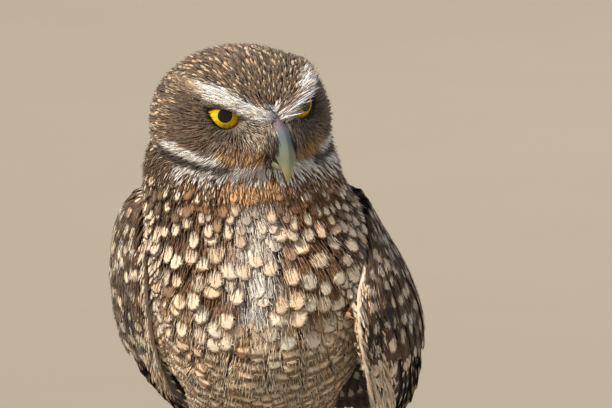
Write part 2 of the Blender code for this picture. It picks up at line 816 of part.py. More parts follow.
def main():
    for obj in list(bpy.data.objects):
        bpy.data.objects.remove(obj)
    brown = material_of("brown_plumage", (0.20, 0.13, 0.085), 0.85)
    breast = material_of("breast_plumage", (0.52, 0.40, 0.28), 0.85)
    buff = material_of("buff_leg_plumage", (0.62, 0.52, 0.40), 0.85)
    horn = material_of("bill_horn", (0.42, 0.45, 0.36), 0.35)
    skin = material_of("foot_skin", (0.33, 0.29, 0.23), 0.6)
    claw = material_of("claw_horn", (0.045, 0.04, 0.035), 0.35)
    iris = material_of("eye", (0.85, 0.62, 0.02), 0.1)

    eyes = [Eye(-1), Eye(1)]
    head_grown = head_solid("head_grown", grow=PARTING)
    head = head_solid("head", material=brown)
    fuse(head, [eye.ball(f"lid{eye.name}", grow=LID_THICKNESS) for eye in eyes])
    openings = [eye.opening_cutter(f"opening{eye.name}") for eye in eyes]
    eye_rooms = [eye.ball(f"room{eye.name}", grow=PARTING) for eye in eyes]
    carve(head, *openings, *eye_rooms)
    discard(*openings, *eye_rooms)
    for eye in eyes:
        made = eye.ball(f"eye_{eye.name}")
        made.data.materials.append(iris)

    carve(upper_bill(horn), head_grown)
    carve(solid("bill_lower", bill_rings(LOWER_BILL, 9, 12, 1.0), horn), head_grown)

    carve(trunk_solid("neck", *NECK_SPAN, material=brown), head_grown)
    carve(trunk_solid("torso", *TORSO_SPAN, material=breast), head_grown)
    neck_grown = trunk_solid("neck_grown", *NECK_SPAN, grow=PARTING)
    torso_grown = trunk_solid("torso_grown", *TORSO_SPAN, grow=PARTING)

    keep_clear = (torso_grown, neck_grown, head_grown)
    build_wing(Wing("wing_right", -1, RIGHT_FRONT_EDGE, RIGHT_REAR_EDGE, RIGHT_BULGE), keep_clear, brown)
    build_wing(Wing("wing_left", 1, LEFT_FRONT_EDGE, LEFT_REAR_EDGE, LEFT_BULGE), keep_clear, brown)
    build_tail((torso_grown,), brown)

    floor_cutter = put_mesh("floor_cutter", *box_points((-60, -60, -20), (60, 60, 0)))
    for side in (-1, 1):
        build_leg(side, (torso_grown,), buff, skin)
        build_foot(side, floor_cutter, skin)
        build_claws(side, claw)
    discard(head_grown, neck_grown, torso_grown, floor_cutter)
    stand_over_origin()


def box_points(low, high):
    (x0, y0, z0), (x1, y1, z1) = low, high
    points = [(x, y, z) for z in (z0, z1) for x, y in ((x0, y0), (x1, y0), (x1, y1), (x0, y1))]
    faces = [(3, 2, 1, 0), (4, 5, 6, 7)]
    faces += [(j, (j + 1) % 4, (j + 1) % 4 + 4, j + 4) for j in range(4)]
    return points, faces


main()
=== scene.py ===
# %% [markdown]
# # A burrowing owl, life size
# A small long-legged owl stands with its head turned to its left and tipped down. Its right wing is
# folded, and its left wing hangs a little open. The solids of the model give every size. Here they
# get their looks: one skin over the flesh, a coat of separate feathers, eyes, bill, feet and claws.

import math

import bpy
import numpy as np
from mathutils import Matrix, Vector
from mathutils.bvhtree import BVHTree
from mathutils.kdtree import KDTree


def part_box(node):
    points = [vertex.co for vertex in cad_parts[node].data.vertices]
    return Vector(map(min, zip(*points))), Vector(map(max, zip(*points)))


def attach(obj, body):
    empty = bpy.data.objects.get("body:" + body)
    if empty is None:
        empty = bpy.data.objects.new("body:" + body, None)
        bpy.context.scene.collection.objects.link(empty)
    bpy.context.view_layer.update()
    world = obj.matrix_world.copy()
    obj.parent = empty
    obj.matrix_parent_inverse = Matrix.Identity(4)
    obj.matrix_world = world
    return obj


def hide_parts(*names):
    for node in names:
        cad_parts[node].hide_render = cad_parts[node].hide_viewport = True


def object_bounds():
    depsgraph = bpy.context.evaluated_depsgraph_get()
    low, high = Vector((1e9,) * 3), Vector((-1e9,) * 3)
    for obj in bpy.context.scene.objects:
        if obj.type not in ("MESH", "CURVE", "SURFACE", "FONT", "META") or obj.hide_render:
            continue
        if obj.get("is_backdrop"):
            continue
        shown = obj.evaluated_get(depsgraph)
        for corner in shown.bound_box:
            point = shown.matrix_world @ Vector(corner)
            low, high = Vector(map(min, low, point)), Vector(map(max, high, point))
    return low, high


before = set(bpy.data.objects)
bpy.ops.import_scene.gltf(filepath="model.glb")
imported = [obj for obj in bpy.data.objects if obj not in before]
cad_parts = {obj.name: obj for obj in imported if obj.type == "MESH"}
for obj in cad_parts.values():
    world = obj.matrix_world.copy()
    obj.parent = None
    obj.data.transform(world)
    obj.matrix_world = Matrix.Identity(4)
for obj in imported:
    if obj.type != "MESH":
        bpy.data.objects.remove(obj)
cad_low, cad_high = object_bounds()
print("solids:", len(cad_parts), "height", round(cad_high.z, 4), "m")

# %% [markdown]
# ## Measures
# All shapes below are thought out in millimetres in the bird's own frame: it faces -Y, its left side
# is +X and it stands on z = 0. The frame keeps metres and has the box's middle over the origin, so
# points slide by a fixed step on their way there. The right eye, a ball, tells how far.

# %% Head frame and eyes
MM = 0.001
SIDES = ((-1, "right"), (1, "left"))
HEAD_AT = np.array([-8.6, -6.0, 177.0])
HEAD_TURN, HEAD_TIP, HEAD_TILT = 27.0, 8.8, -3.4
EYE_POLE, EYE_RADIUS, EYE_SPLAY = (16.6, -22.2, 9.6), 8.0, math.radians(22.0)


def turning(degrees, axis):
    return np.array(Matrix.Rotation(math.radians(degrees), 3, axis))


HEAD_FRAME = turning(HEAD_TURN, "Z") @ turning(HEAD_TIP, "X") @ turning(HEAD_TILT, "Y")


def from_head(points):
    """Points given in the head's own frame, as points of the bird."""
    return HEAD_AT + np.asarray(points, float) @ HEAD_FRAME.T


def to_head(points):
    return (np.asarray(points, float) - HEAD_AT) @ HEAD_FRAME


def eye_frame(side):
    """Middle of an eyeball, and its directions toward the bill, outward and up, in the head."""
    outward = np.array([side * math.sin(EYE_SPLAY), -math.cos(EYE_SPLAY), 0.0])
    to_bill = np.array([-side * math.cos(EYE_SPLAY), -math.sin(EYE_SPLAY), 0.0])
    pole = np.array([side * EYE_POLE[0], EYE_POLE[1], EYE_POLE[2]])
    return pole - EYE_RADIUS * outward, to_bill, outward, np.array([0.0, 0.0, 1.0])


eye_box = np.mean(np.array(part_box("eye_right")), axis=0)
SLIDE = eye_box / MM - from_head(eye_frame(-1)[0])
print("slide to the frame, mm:", SLIDE.round(2))

# %% Small helpers for points


def unit(vectors):
    vectors = np.asarray(vectors, float)
    return vectors / np.maximum(np.linalg.norm(vectors, axis=-1, keepdims=True), 1e-9)


def across_only(vectors, normals):
    """The part of each vector that lies in the surface."""
    return unit(vectors - normals * np.sum(vectors * normals, axis=-1, keepdims=True))


def step_up(value, low, high):
    """0 below low, 1 above high and smooth between. It falls instead where high is below low."""
    share = np.clip((np.asarray(value, float) - low) / (high - low), 0.0, 1.0)
    return share * share * (3 - 2 * share)


def read_through(stations, t):
    """A smooth curve through rows of numbers, read at each t from 0, the first row, to 1, the last."""
    rows = np.asarray(stations, float)
    last = len(rows) - 1
    place = np.clip(np.asarray(t, float), 0.0, 1.0) * last
    i = np.minimum(place.astype(int), last - 1)
    f = (place - i)[..., None]
    a, b = rows[i], rows[i + 1]
    before = np.where((i > 0)[..., None], rows[np.maximum(i - 1, 0)], 2 * a - b)
    after = np.where((i + 2 <= last)[..., None], rows[np.minimum(i + 2, last)], 2 * b - a)
    slope_a, slope_b = (b - before) / 2, (after - a) / 2
    return (
        (2 * f**3 - 3 * f**2 + 1) * a
        + (f**3 - 2 * f**2 + f) * slope_a
        + (3 * f**2 - 2 * f**3) * b
        + (f**3 - f**2) * slope_b
    )


def face_out(points, faces):
    """The same triangles, turned round where they enclose a negative volume."""
    corners = (points - points.mean(axis=0))[faces]
    volume = np.einsum("ij,ij->", corners[:, 0], np.cross(corners[:, 1], corners[:, 2]))
    return faces[:, ::-1] if volume < 0 else faces


def put_mesh(name, points, faces, material, attributes=None, uv=None):
    """A smooth mesh object from points in millimetres of the bird's frame."""
    faces = np.asarray(faces, np.int32)
    mesh = bpy.data.meshes.new(name)
    mesh.vertices.add(len(points))
    mesh.vertices.foreach_set("co", ((np.asarray(points) + SLIDE) * MM).astype(np.float32).ravel())
    mesh.loops.add(faces.size)
    mesh.loops.foreach_set("vertex_index", faces.ravel())
    mesh.polygons.add(len(faces))
    starts = np.arange(0, faces.size, faces.shape[1], dtype=np.int32)
    mesh.polygons.foreach_set("loop_start", starts)
    mesh.update(calc_edges=True)
    mesh.shade_smooth()
    for label, values in (attributes or {}).items():
        kinds = {1: ("FLOAT", "value"), 3: ("FLOAT_VECTOR", "vector"), 4: ("FLOAT_COLOR", "color")}
        kind, field = kinds[values.shape[1]]
        layer = mesh.attributes.new(label, kind, "POINT")
        layer.data.foreach_set(field, values.astype(np.float32).ravel())
    if uv is not None:
        layer = mesh.uv_layers.new(name="OFBake")
        layer.data.foreach_set("uv", uv[faces.ravel()].astype(np.float32).ravel())
    mesh.materials.append(material)
    obj = bpy.data.objects.new(name, mesh)
    bpy.context.scene.collection.objects.link(obj)
    return obj


def hand_in(piece, nodes=()):
    """The piece moves with the bird and stands for solids."""
    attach(piece, "root")
    if nodes:
        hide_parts(*nodes)
    print(piece.name, len(piece.data.polygons), "faces")
    return piece


# %% [markdown]
# ## Paints
# Feathers, horn and scales are painted with Blender's shader nodes. To write their sums as plain
# Python, a Value wraps one socket and knows the usual operators. A Paint is one material with its
# shader, and its method node adds any other node from its settings and its inputs.

# %% Sums on sockets


class Value:
    """A number that changes over a surface."""

    def __init__(self, paint, socket):
        self.paint, self.socket = paint, socket

    def __add__(self, other):
        return self.paint.sum_node("ADD", self, other)

    def __sub__(self, other):
        return self.paint.sum_node("SUBTRACT", self, other)

    def __rsub__(self, other):
        return self.paint.sum_node("SUBTRACT", other, self)

    def __mul__(self, other):
        return self.paint.sum_node("MULTIPLY", self, other)

    def __truediv__(self, other):
        return self.paint.sum_node("DIVIDE", self, other)

    def __rtruediv__(self, other):
        return self.paint.sum_node("DIVIDE", other, self)

    def __pow__(self, other):
        return self.paint.sum_node("POWER", self, other)

    __radd__, __rmul__ = __add__, __mul__

    def maths(self, operation, other=0.0):
        return self.paint.sum_node(operation, self, other)

    def rise(self, low, high):
        """0 below low, 1 above high and smooth between."""
        settings = {"interpolation_type": "SMOOTHSTEP"}
        return self.paint.node("ShaderNodeMapRange", settings, {"Value": self, 1: low, 2: high})


class Paint:
    """A material under construction. Constants are set on the shader's own sockets."""

    def __init__(self, name, **constants):
        self.material = bpy.data.materials.new(name)
        self.material.use_nodes = True
        self.tree = self.material.node_tree
        self.shader = self.tree.nodes["Principled BSDF"]
        for label, value in constants.items():
            self.shader.inputs[label.replace("_", " ")].default_value = value

    def node(self, kind, settings=None, sockets=None, out=0):
        made = self.tree.nodes.new(kind)
        for label, value in (settings or {}).items():
            setattr(made, label, value)
        for label, value in (sockets or {}).items():
            if isinstance(value, Value):
                self.tree.links.new(value.socket, made.inputs[label])
            elif isinstance(value, np.ndarray):
                made.inputs[label].default_value = (*value, 1.0)
            else:
                made.inputs[label].default_value = value
        return Value(self, made.outputs[out])

    def sum_node(self, operation, a, b):
        return self.node("ShaderNodeMath", {"operation": operation}, {0: a, 1: b})

    def read(self, name, out="Color"):
        """An attribute of the mesh: a colour, a vector or, as Alpha, a colour's fourth number."""
        return self.node("ShaderNodeAttribute", {"attribute_name": name}, out=out)

    def parts(self, vector):
        made = self.node("ShaderNodeSeparateXYZ", None, {0: vector})
        return [Value(self, output) for output in made.socket.node.outputs]

    def vector(self, x, y, z):
        return self.node("ShaderNodeCombineXYZ", None, {0: x, 1: y, 2: z})

    def mix(self, a, b, share):
        settings = {"data_type": "RGBA", "clamp_factor": True}
        return self.node("ShaderNodeMix", settings, {0: share, 6: a, 7: b}, out=2)

    def darker(self, colour, share):
        """The colour times a number."""
        grey = self.vector(share, share, share)
        return self.node("ShaderNodeMix", {"data_type": "RGBA", "blend_type": "MULTIPLY"},
                         {0: 1.0, 6: colour, 7: grey}, out=2)

    def noise(self, place, scale, detail=2.0, out=0):
        return self.node("ShaderNodeTexNoise", None, {"Vector": place, "Scale": scale, "Detail": detail}, out)

    def cover(self, **sockets):
        """Links the shader's sockets that change over the surface."""
        for label, value in sockets.items():
            self.tree.links.new(value.socket, self.shader.inputs[label.replace("_", " ")])
        return self.material

    def bump(self, height, strength, distance):
        return self.node("ShaderNodeBump", None,
                         {"Height": height, "Strength": strength, "Distance": distance})


def srgb(red, green, blue):
    """A colour as a screen shows it, from 0 to 255, as the shader's linear numbers."""
    share = np.array([red, green, blue]) / 255.0
    return np.where(share <= 0.04045, share / 12.92, ((share + 0.055) / 1.055) ** 2.4)


# %% [markdown]
# ## The surface under the coat
# The solids of head, neck, body and thighs end where the feather tips end. Melted together and
# smoothed they make a guide: every body feather starts a little under it and ends on it. The skin
# itself is the same shape drawn inward by the depth of the coat, joined with the flesh of the wings
# and the tail, so that no seam shows between parts.

# %% Guide surface


def mesh_arrays(mesh):
    """Points, in metres, and triangles of a mesh."""
    mesh.calc_loop_triangles()
    points = np.empty(len(mesh.vertices) * 3, np.float32)
    mesh.vertices.foreach_get("co", points)
    faces = np.empty(len(mesh.loop_triangles) * 3, np.int32)
    mesh.loop_triangles.foreach_get("vertices", faces)
    return points.reshape(-1, 3), faces.reshape(-1, 3)


def node_shape(name):
    """Points, in the bird's frame, and triangles of one solid."""
    points, faces = mesh_arrays(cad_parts[name].data)
    return points / MM - SLIDE, faces


def stacked(shapes):
    """Several shapes as one list of points and one of triangles."""
    points, faces, base = [], [], 0
    for some_points, some_faces in shapes:
        points.append(some_points)
        faces.append(some_faces + base)
        base += len(some_points)
    return np.concatenate(points), np.concatenate(faces)


def melted(shapes, voxel, smoothing):
    """One closed smooth surface round closed shapes that overlap or touch."""
    obj = put_mesh("melting", *stacked(shapes), None)
    remesh = obj.modifiers.new("melt", "REMESH")
    remesh.mode, remesh.voxel_size = "VOXEL", voxel * MM
    smooth = obj.modifiers.new("smooth", "SMOOTH")
    smooth.factor, smooth.iterations = 0.5, smoothing
    mesh = obj.evaluated_get(bpy.context.evaluated_depsgraph_get()).to_mesh()
    points, faces = mesh_arrays(mesh)
    bpy.data.objects.remove(obj)
    return points.astype(float) / MM - SLIDE, faces


class Surface:
    """A closed surface that answers where it is nearest and which way it faces there."""

    def __init__(self, points, faces):
        self.points, self.faces = points, faces
        corners = points[faces]
        crossed = np.cross(corners[:, 1] - corners[:, 0], corners[:, 2] - corners[:, 0])
        self.areas = np.linalg.norm(crossed, axis=1) / 2
        self.normals = np.zeros_like(points)
        for corner in range(3):
            np.add.at(self.normals, faces[:, corner], crossed)
        self.normals = unit(self.normals)
        self.facings = unit(self.normals[faces].sum(axis=1))
        self.tree = BVHTree.FromPolygons(points.tolist(), faces.tolist())

    def nearest(self, places):
        shape = places.shape
        found = [self.tree.find_nearest(place) for place in places.reshape(-1, 3).tolist()]
        spots = np.array([hit[0] for hit in found]).reshape(shape)
        which = np.array([hit[2] for hit in found])
        return spots, self.facings[which].reshape(shape)

    def scatter(self, spacing_at, seed, crowd=5.0):
        """Random places on the surface, no two closer than the spacing that their place asks for.
        spacing_at gives 0 where nothing grows."""
        draw = np.random.default_rng(seed)
        middles = self.points[self.faces].mean(axis=1)
        spacing = spacing_at(middles)
        wanted = np.where(spacing > 0, crowd * self.areas / np.maximum(spacing, 0.1) ** 2, 0.0)
        tries = draw.choice(len(wanted), size=int(wanted.sum()), p=wanted / wanted.sum())
        shares = draw.random((len(tries), 2))
        over = shares.sum(axis=1) > 1
        shares[over] = 1 - shares[over]
        a, b, c = (self.points[self.faces[tries, corner]] for corner in range(3))
        places = a + (b - a) * shares[:, :1] + (c - a) * shares[:, 1:]
        near = KDTree(len(places))
        for i, place in enumerate(places.tolist()):
            near.insert(place, i)
        near.balance()
        taken = np.zeros(len(places), bool)
        kept = []
        for i, place in enumerate(places.tolist()):
            if taken[i]:
                continue
            kept.append(i)
            for _, j, _ in near.find_range(place, spacing[tries[i]]):
                taken[j] = True
        return places[kept]


FLESH = ["head", "neck", "torso", "thigh_left", "thigh_right"]
GUIDE_VOXEL = 1.1
guide_shapes = [node_shape(name) for name in FLESH + ["eye_left", "eye_right"]]
guide = Surface(*melted(guide_shapes, GUIDE_VOXEL, 6))
print("guide:", len(guide.faces), "triangles")

# %% [markdown]
# ## Which way the coat lies
# On the head the feathers stream away from the root of the bill, and round each eye they spread like
# spokes. Below the head they follow the trunk down and back to the tail, and on the legs they point
# to the feet.

# %% Lie of the feathers
BILL_ROOT = np.array([0.0, -37.0, 5.0])
TRUNK_MIDDLES = (
    (-8.0, -3.0, 172.0),
    (-5.8, -1.0, 148.0),
    (-1.0, 4.0, 121.0),
    (0.0, 14.0, 93.0),
    (0.0, 35.0, 71.0),
    (0.0, 56.0, 58.0),
)
LEG_PATH = (
    (14.0, 4.0, 94.0),
    (15.0, 11.0, 76.0),
    (16.2, 18.0, 60.0),
    (17.2, 21.5, 46.5),
    (17.9, 18.0, 33.0),
    (18.5, 13.2, 20.0),
    (18.9, 9.8, 9.0),
    (19.0, 9.0, 3.0),
)
LEG_RADII = (19.0, 15.0, 9.5, 5.3, 3.9, 3.4, 4.0, 4.3)
BROW_LINE = ((0.0, 10.6), (8.9, 13.0), (17.8, 18.0), (26.0, 19.6))


def near_line(x, z, line):
    """Distance from places on the front of the head to a bent line, in millimetres."""
    best = np.full(x.shape, 1e9)
    for (x0, z0), (x1, z1) in zip(line, line[1:]):
        run = np.array([x1 - x0, z1 - z0])
        share = np.clip(((x - x0) * run[0] + (z - z0) * run[1]) / (run @ run), 0, 1)
        best = np.minimum(best, np.hypot(x - x0 - share * run[0], z - z0 - share * run[1]))
    return best


def along_path(path, places):
    """Direction of a path that runs downward, at the height of each place."""
    rows = np.asarray(path)[::-1]
    high = np.interp(places[:, 2] + 4.0, rows[:, 2], np.arange(len(rows)))
    low = np.interp(places[:, 2] - 4.0, rows[:, 2], np.arange(len(rows)))
    knots = np.arange(len(rows))
    run = [np.interp(low, knots, rows[:, k]) - np.interp(high, knots, rows[:, k]) for k in range(3)]
    return unit(np.stack(run, axis=1) + [0.0, 0.0, -1e-3])


def lie(places, normals):
    """The way that feathers point at places on the guide."""
    local = to_head(places)
    from_bill = unit(local - BILL_ROOT)
    for side, _ in SIDES:
        spoke = local - np.array([side * 15.0, -24.0, 8.6])
        reach = np.linalg.norm(spoke, axis=1)
        share = step_up(reach, 19.0, 9.0) * step_up(local[:, 1], -6.0, -16.0)
        share = share * step_up(local[:, 2], 15.5, 11.0)
        from_bill = from_bill + (unit(spoke) - from_bill) * (0.85 * share)[:, None]
    side = np.where(local[:, :1] < 0, -1.0, 1.0)
    on_brow = step_up(near_line(np.abs(local[:, 0]), local[:, 2], BROW_LINE), 5.0, 2.5)
    on_brow = (on_brow * step_up(local[:, 1], -6.0, -14.0))[:, None]
    from_bill = from_bill + (unit(side * [1.0, 0, 0] + [0, 0.55, 0.36]) - from_bill) * 0.85 * on_brow
    head_way = from_bill @ HEAD_FRAME.T
    body_way = along_path(TRUNK_MIDDLES, places)
    body_way[:, 0] += 0.004 * places[:, 0]
    on_head = step_up(local[:, 2], -15.0, -6.0)
    leg_way = along_path(LEG_PATH, places)
    on_leg = (step_up(places[:, 2], 74.0, 62.0) * step_up(places[:, 1], 40.0, 30.0))[:, None]
    way = head_way * on_head[:, None] + body_way * (1 - on_head[:, None])
    return across_only(way * (1 - on_leg) + leg_way * on_leg, normals)


# %% [markdown]
# ## One way to grow feathers
# A feather is a thin closed plate round a bent middle line. Its outline is made of rows that slant
# forward from the shaft as real barbs do, and every second row ends shorter, so that the edge is a
# little frayed. Only one small pattern of points is made for each kind of feather. NumPy lays it along
# thousands of middle lines at once, which takes seconds where single objects would take hours.

# %% Middle lines and plates
STATIONS = 6


def spines(surface, roots, lengths, turn, stations=STATIONS):
    """Middle lines that follow a surface from their roots, each turned off the lie by an angle."""
    places, normals = surface.nearest(roots)
    ways = lie(places, normals)
    sides = np.cross(ways, normals)
    ways = ways * np.cos(turn)[:, None] + sides * np.sin(turn)[:, None]
    line, ups = [places], [normals]
    step = (lengths / (stations - 1))[:, None]
    for _ in range(stations - 1):
        places, normals = surface.nearest(places + ways * step)
        turned = across_only(ways, normals)
        ways = across_only(turned * 0.7 + lie(places, normals) * 0.3, normals)
        line.append(places)
        ups.append(normals)
    return np.stack(line, axis=1), np.stack(ups, axis=1)


def plate_pattern(rows, widths, slant, fray, ring):
    """Points of one feather as share along, share across and height, and its triangles. The ring
    lists share across and height round the plate, from the left edge over the top to the right."""
    points = []
    for k, (s, w) in enumerate(zip(rows, widths)):
        for across, height in ring:
            edge = abs(across)
            wide = w * (1 - fray * edge**3 * (k % 2))
            along = s + slant * edge * w - (0.3 * slant * edge**3 if k % 2 else 0.0)
            points.append((min(along, 1.0), across * wide, height * min(1.0, 0.3 + w)))
    points.append((1.0, 0.0, 0.0))
    count, tip = len(ring), len(points) - 1
    faces = []
    for k in range(len(rows) - 1):
        for j in range(count):
            a, b = k * count + j, k * count + (j + 1) % count
            faces += [(a, b, b + count), (a, b + count, a + count)]
    last = (len(rows) - 1) * count
    for j in range(count):
        faces.append((last + j, last + (j + 1) % count, tip))
    for j in range(1, count - 1):
        faces.append((0, j + 1, j))
    points, faces = np.array(points), np.array(faces)
    laid_out = points[:, [1, 0, 2]] * [1.0, 3.0, 0.1]
    return points, face_out(laid_out, faces)


RING_OF_6 = ((-1, 0), (-0.5, 0.7), (0, 1), (0.5, 0.7), (1, 0), (0, -0.6))
RING_OF_4 = ((-1, 0), (0, 1), (1, 0), (0, -0.7))
RING_OF_3 = ((-1, 0), (0, 1), (1, 0))
BODY_ROWS = (0.0, 0.25, 0.42, 0.54, 0.63, 0.70, 0.76, 0.81, 0.85, 0.89, 0.92, 0.95, 0.975)
BODY_WIDTHS = (0.35, 0.82, 0.97, 1.0, 1.0, 0.97, 0.93, 0.87, 0.79, 0.68, 0.55, 0.4, 0.22)
SMALL_ROWS, SMALL_WIDTHS = (0, 0.3, 0.52, 0.68, 0.8, 0.9), (0.4, 0.85, 1, 0.92, 0.7, 0.4)
PATTERNS = {
    "body": plate_pattern(BODY_ROWS, BODY_WIDTHS, 0.10, 0.16, RING_OF_6),
    "small": plate_pattern(SMALL_ROWS, SMALL_WIDTHS, 0.08, 0.14, RING_OF_4),
    "lock": plate_pattern((0, 0.4, 0.75), (0.8, 1, 0.6), 0.05, 0.0, RING_OF_3),
}


class Tufts:
    """Many feathers of one kind: middle lines, upward directions, sizes and markings."""

    def __init__(self, line, ups, half_width, camber=0.12, thick=0.25, roll=0.0):
        self.line, self.ups = line, ups
        count = len(line)
        self.half_width = np.broadcast_to(np.asarray(half_width, float), (count,))
        self.camber, self.thick = camber, thick
        self.roll = np.broadcast_to(np.asarray(roll, float), (count,))
        self.marks = {}

    def lengths(self):
        return np.linalg.norm(np.diff(self.line, axis=1), axis=2).sum(axis=1)

    def raise_by(self, heights):
        """Lifts the middle lines off the surface: one height for each feather and station."""
        self.line = self.line + self.ups * heights[..., None]
        return self

    def shape(self, pattern, draw):
        """Points and triangles of all these feathers."""
        table, faces = PATTERNS[pattern]
        stations = self.line.shape[1]
        weights = read_through(np.eye(stations), table[:, 0])
        middles = np.einsum("vs,nsk->nvk", weights, self.line)
        ups = unit(np.einsum("vs,nsk->nvk", weights, self.ups))
        runs = np.gradient(self.line, axis=1)
        sides = unit(np.cross(np.einsum("vs,nsk->nvk", weights, runs), ups))
        lean = self.roll[:, None, None]
        flat_sides, cos, sin = sides, np.cos(lean), np.sin(lean)
        sides = flat_sides * cos + ups * sin
        ups = ups * cos - flat_sides * sin
        wide = self.half_width[:, None]
        size = (len(self.line), len(table))
        across = table[None, :, 1] * wide * (1 + 0.08 * draw.standard_normal(size))
        frayed = 0.22 * draw.standard_normal(size) * table[None, :, 1] ** 2 * wide
        droop = -self.camber * across**2 / wide
        height = table[None, :, 2] * self.thick / 2 + droop
        forward = np.cross(ups, sides)
        points = middles + sides * across[..., None] + ups * height[..., None]
        points = points + forward * frayed[..., None]
        count = len(table)
        every = faces[None] + (np.arange(len(self.line)) * count)[:, None, None]
        return points.reshape(-1, 3), every.reshape(-1, 3)


# %% [markdown]
# ## Wings as shields
# Each wing is a shield that hangs along the flank. A front edge and a rear edge, and how far it
# bulges between them, are the wing of the solids, read here at any place: along it from shoulder to
# tip, and across it from front to rear. Its feathers are laid on that shield in tiers.

# %% Wing shields
RIGHT_FRONT_EDGE = (
    (-39.0, -8.0, 144.0),
    (-40.5, -15.0, 128.0),
    (-39.5, -16.0, 112.0),
    (-37.5, -9.0, 95.0),
    (-34.0, 6.0, 78.0),
    (-28.0, 33.0, 59.0),
    (-21.0, 61.0, 39.0),
    (-10.0, 95.0, 18.0),
)
RIGHT_REAR_EDGE = (
    (-26.0, 30.0, 150.0),
    (-24.0, 38.0, 138.0),
    (-20.5, 44.0, 122.0),
    (-17.0, 50.5, 105.0),
    (-13.5, 58.0, 88.0),
    (-10.0, 70.0, 66.0),
    (-6.5, 86.0, 49.0),
    (-3.0, 104.0, 30.0),
)
RIGHT_BULGE = ((14.0,), (20.5,), (24.5,), (26.5,), (27.0,), (25.0,), (14.0,), (1.5,))
LEFT_FRONT_EDGE = (
    (36.0, 2.0, 140.0),
    (37.0, -13.0, 127.0),
    (32.5, -26.0, 113.0),
    (32.5, -27.0, 97.0),
    (35.5, -17.0, 79.0),
    (38.0, 6.0, 58.0),
    (35.0, 44.0, 34.0),
    (30.0, 90.0, 11.0),
)
LEFT_REAR_EDGE = (
    (24.0, 31.0, 150.0),
    (25.0, 39.0, 138.0),
    (25.0, 46.0, 120.0),
    (24.0, 53.0, 103.0),
    (23.0, 61.0, 85.0),
    (24.0, 72.0, 62.0),
    (25.0, 87.0, 43.0),
    (25.0, 101.0, 23.0),
)
LEFT_BULGE = ((5.0,), (11.0,), (23.0,), (29.5,), (29.5,), (24.0,), (12.0,), (1.5,))


class Shield:
    """The outer surface of one folded wing."""

    def __init__(self, word, side, front_edge, rear_edge, bulge):
        self.word, self.side = word, side
        self.front_edge, self.rear_edge, self.bulge = front_edge, rear_edge, bulge

    def outward(self, along):
        across_way = read_through(self.rear_edge, along) - read_through(self.front_edge, along)
        whole = np.mean([self.rear_edge[-1], self.front_edge[-1]], axis=0)
        whole = whole - np.mean([self.rear_edge[0], self.front_edge[0]], axis=0)
        out = unit(np.cross(whole, across_way))
        return out * np.where(out[..., :1] * self.side > 0, 1.0, -1.0)

    def place(self, along, across):
        along, across = np.broadcast_arrays(np.asarray(along, float), np.asarray(across, float))
        front, rear = read_through(self.front_edge, along), read_through(self.rear_edge, along)
        rise = (4 * across * (1 - across)) ** 0.8
        stand = read_through(self.bulge, along) * rise[..., None]
        return front + (rear - front) * across[..., None] + self.outward(along) * stand

    def facing(self, along, across):
        step = 0.015
        low, high = np.maximum(across - step, 0.02), np.minimum(across + step, 0.98)
        ahead, behind = np.minimum(along + step, 1), np.maximum(along - step, 0)
        run = self.place(ahead, across) - self.place(behind, across)
        normal = unit(np.cross(run, self.place(along, high) - self.place(along, low)))
        agree = np.sum(normal * self.outward(along), axis=-1, keepdims=True)
        return normal * np.where(agree > 0, 1.0, -1.0)

    def flesh(self, end, under, thick, taper=0.5):
        """A closed shell under the shield, from the shoulder to a share of the wing's length."""
        outer = np.linspace(0, 1, 14)
        inner = outer[-2:0:-1]
        rings = []
        for along in np.linspace(0, end, 20):
            out = self.outward(np.array(along))
            depth = under + thick * (1 - taper * (along / end) ** 2) * (4 * inner * (1 - inner)) ** 0.4
            rings.append(self.place(along, outer) - out * under)
            rings.append(self.place(along, inner) - out * depth[:, None])
        count = len(outer) + len(inner)
        return tube(np.concatenate(rings).reshape(-1, count, 3))

    def laid(self, root, tip, heights, stations=9):
        """Middle lines of feathers from places (along, across) at their roots to those at their tips.
        heights gives one height over the shield for each feather and station."""
        share = np.linspace(0, 1, stations)[None, :, None]
        way = root[:, None] + (tip - root)[:, None] * share
        along, across = np.clip(way[..., 0], 0, 1), np.clip(way[..., 1], 0.02, 0.98)
        ups = self.facing(along, across)
        return self.place(along, across) + ups * heights[..., None], ups


def tube(rings):
    """A closed skin over rings of equally many points, its ends closed by strips."""
    rings = np.asarray(rings, float)
    total, count = rings.shape[:2]
    faces = []
    for k in range(total - 1):
        for j in range(count):
            a, b = k * count + j, k * count + (j + 1) % count
            faces += [(a, b, b + count), (a, b + count, a + count)]
    end = (total - 1) * count
    for j in range(count // 2):
        near, far = (j, j + 1), (count - j - 1, (count - j) % count)
        for corners in ((near[0], near[1], far[0]), (near[0], far[0], far[1])):
            if len(set(corners)) == 3:
                faces += [corners[::-1], tuple(end + corner for corner in corners)]
    points = rings.reshape(-1, 3)
    return points, face_out(points, np.array(faces))


WINGS = [
    Shield("right", -1, RIGHT_FRONT_EDGE, RIGHT_REAR_EDGE, RIGHT_BULGE),
    Shield("left", 1, LEFT_FRONT_EDGE, LEFT_REAR_EDGE, LEFT_BULGE),
]
winged_shapes = guide_shapes + [wing.flesh(0.6, 0.0, 8.0) for wing in WINGS]
coat_guide = Surface(*melted(winged_shapes, GUIDE_VOXEL, 8))
print("coat guide:", len(coat_guide.faces), "triangles")

# %% [markdown]
# ## Openings of the eyes
# The lids leave a lens-shaped opening that slopes down toward the bill. No feather starts inside it or
# on the root of the bill.

# %% Places that stay bare
LID_INNER, LID_OUTER = np.array([6.9, -0.4]), np.array([-6.4, 2.0])
UPPER_LID_RISE, LOWER_LID_DROP = 2.7, 5.3


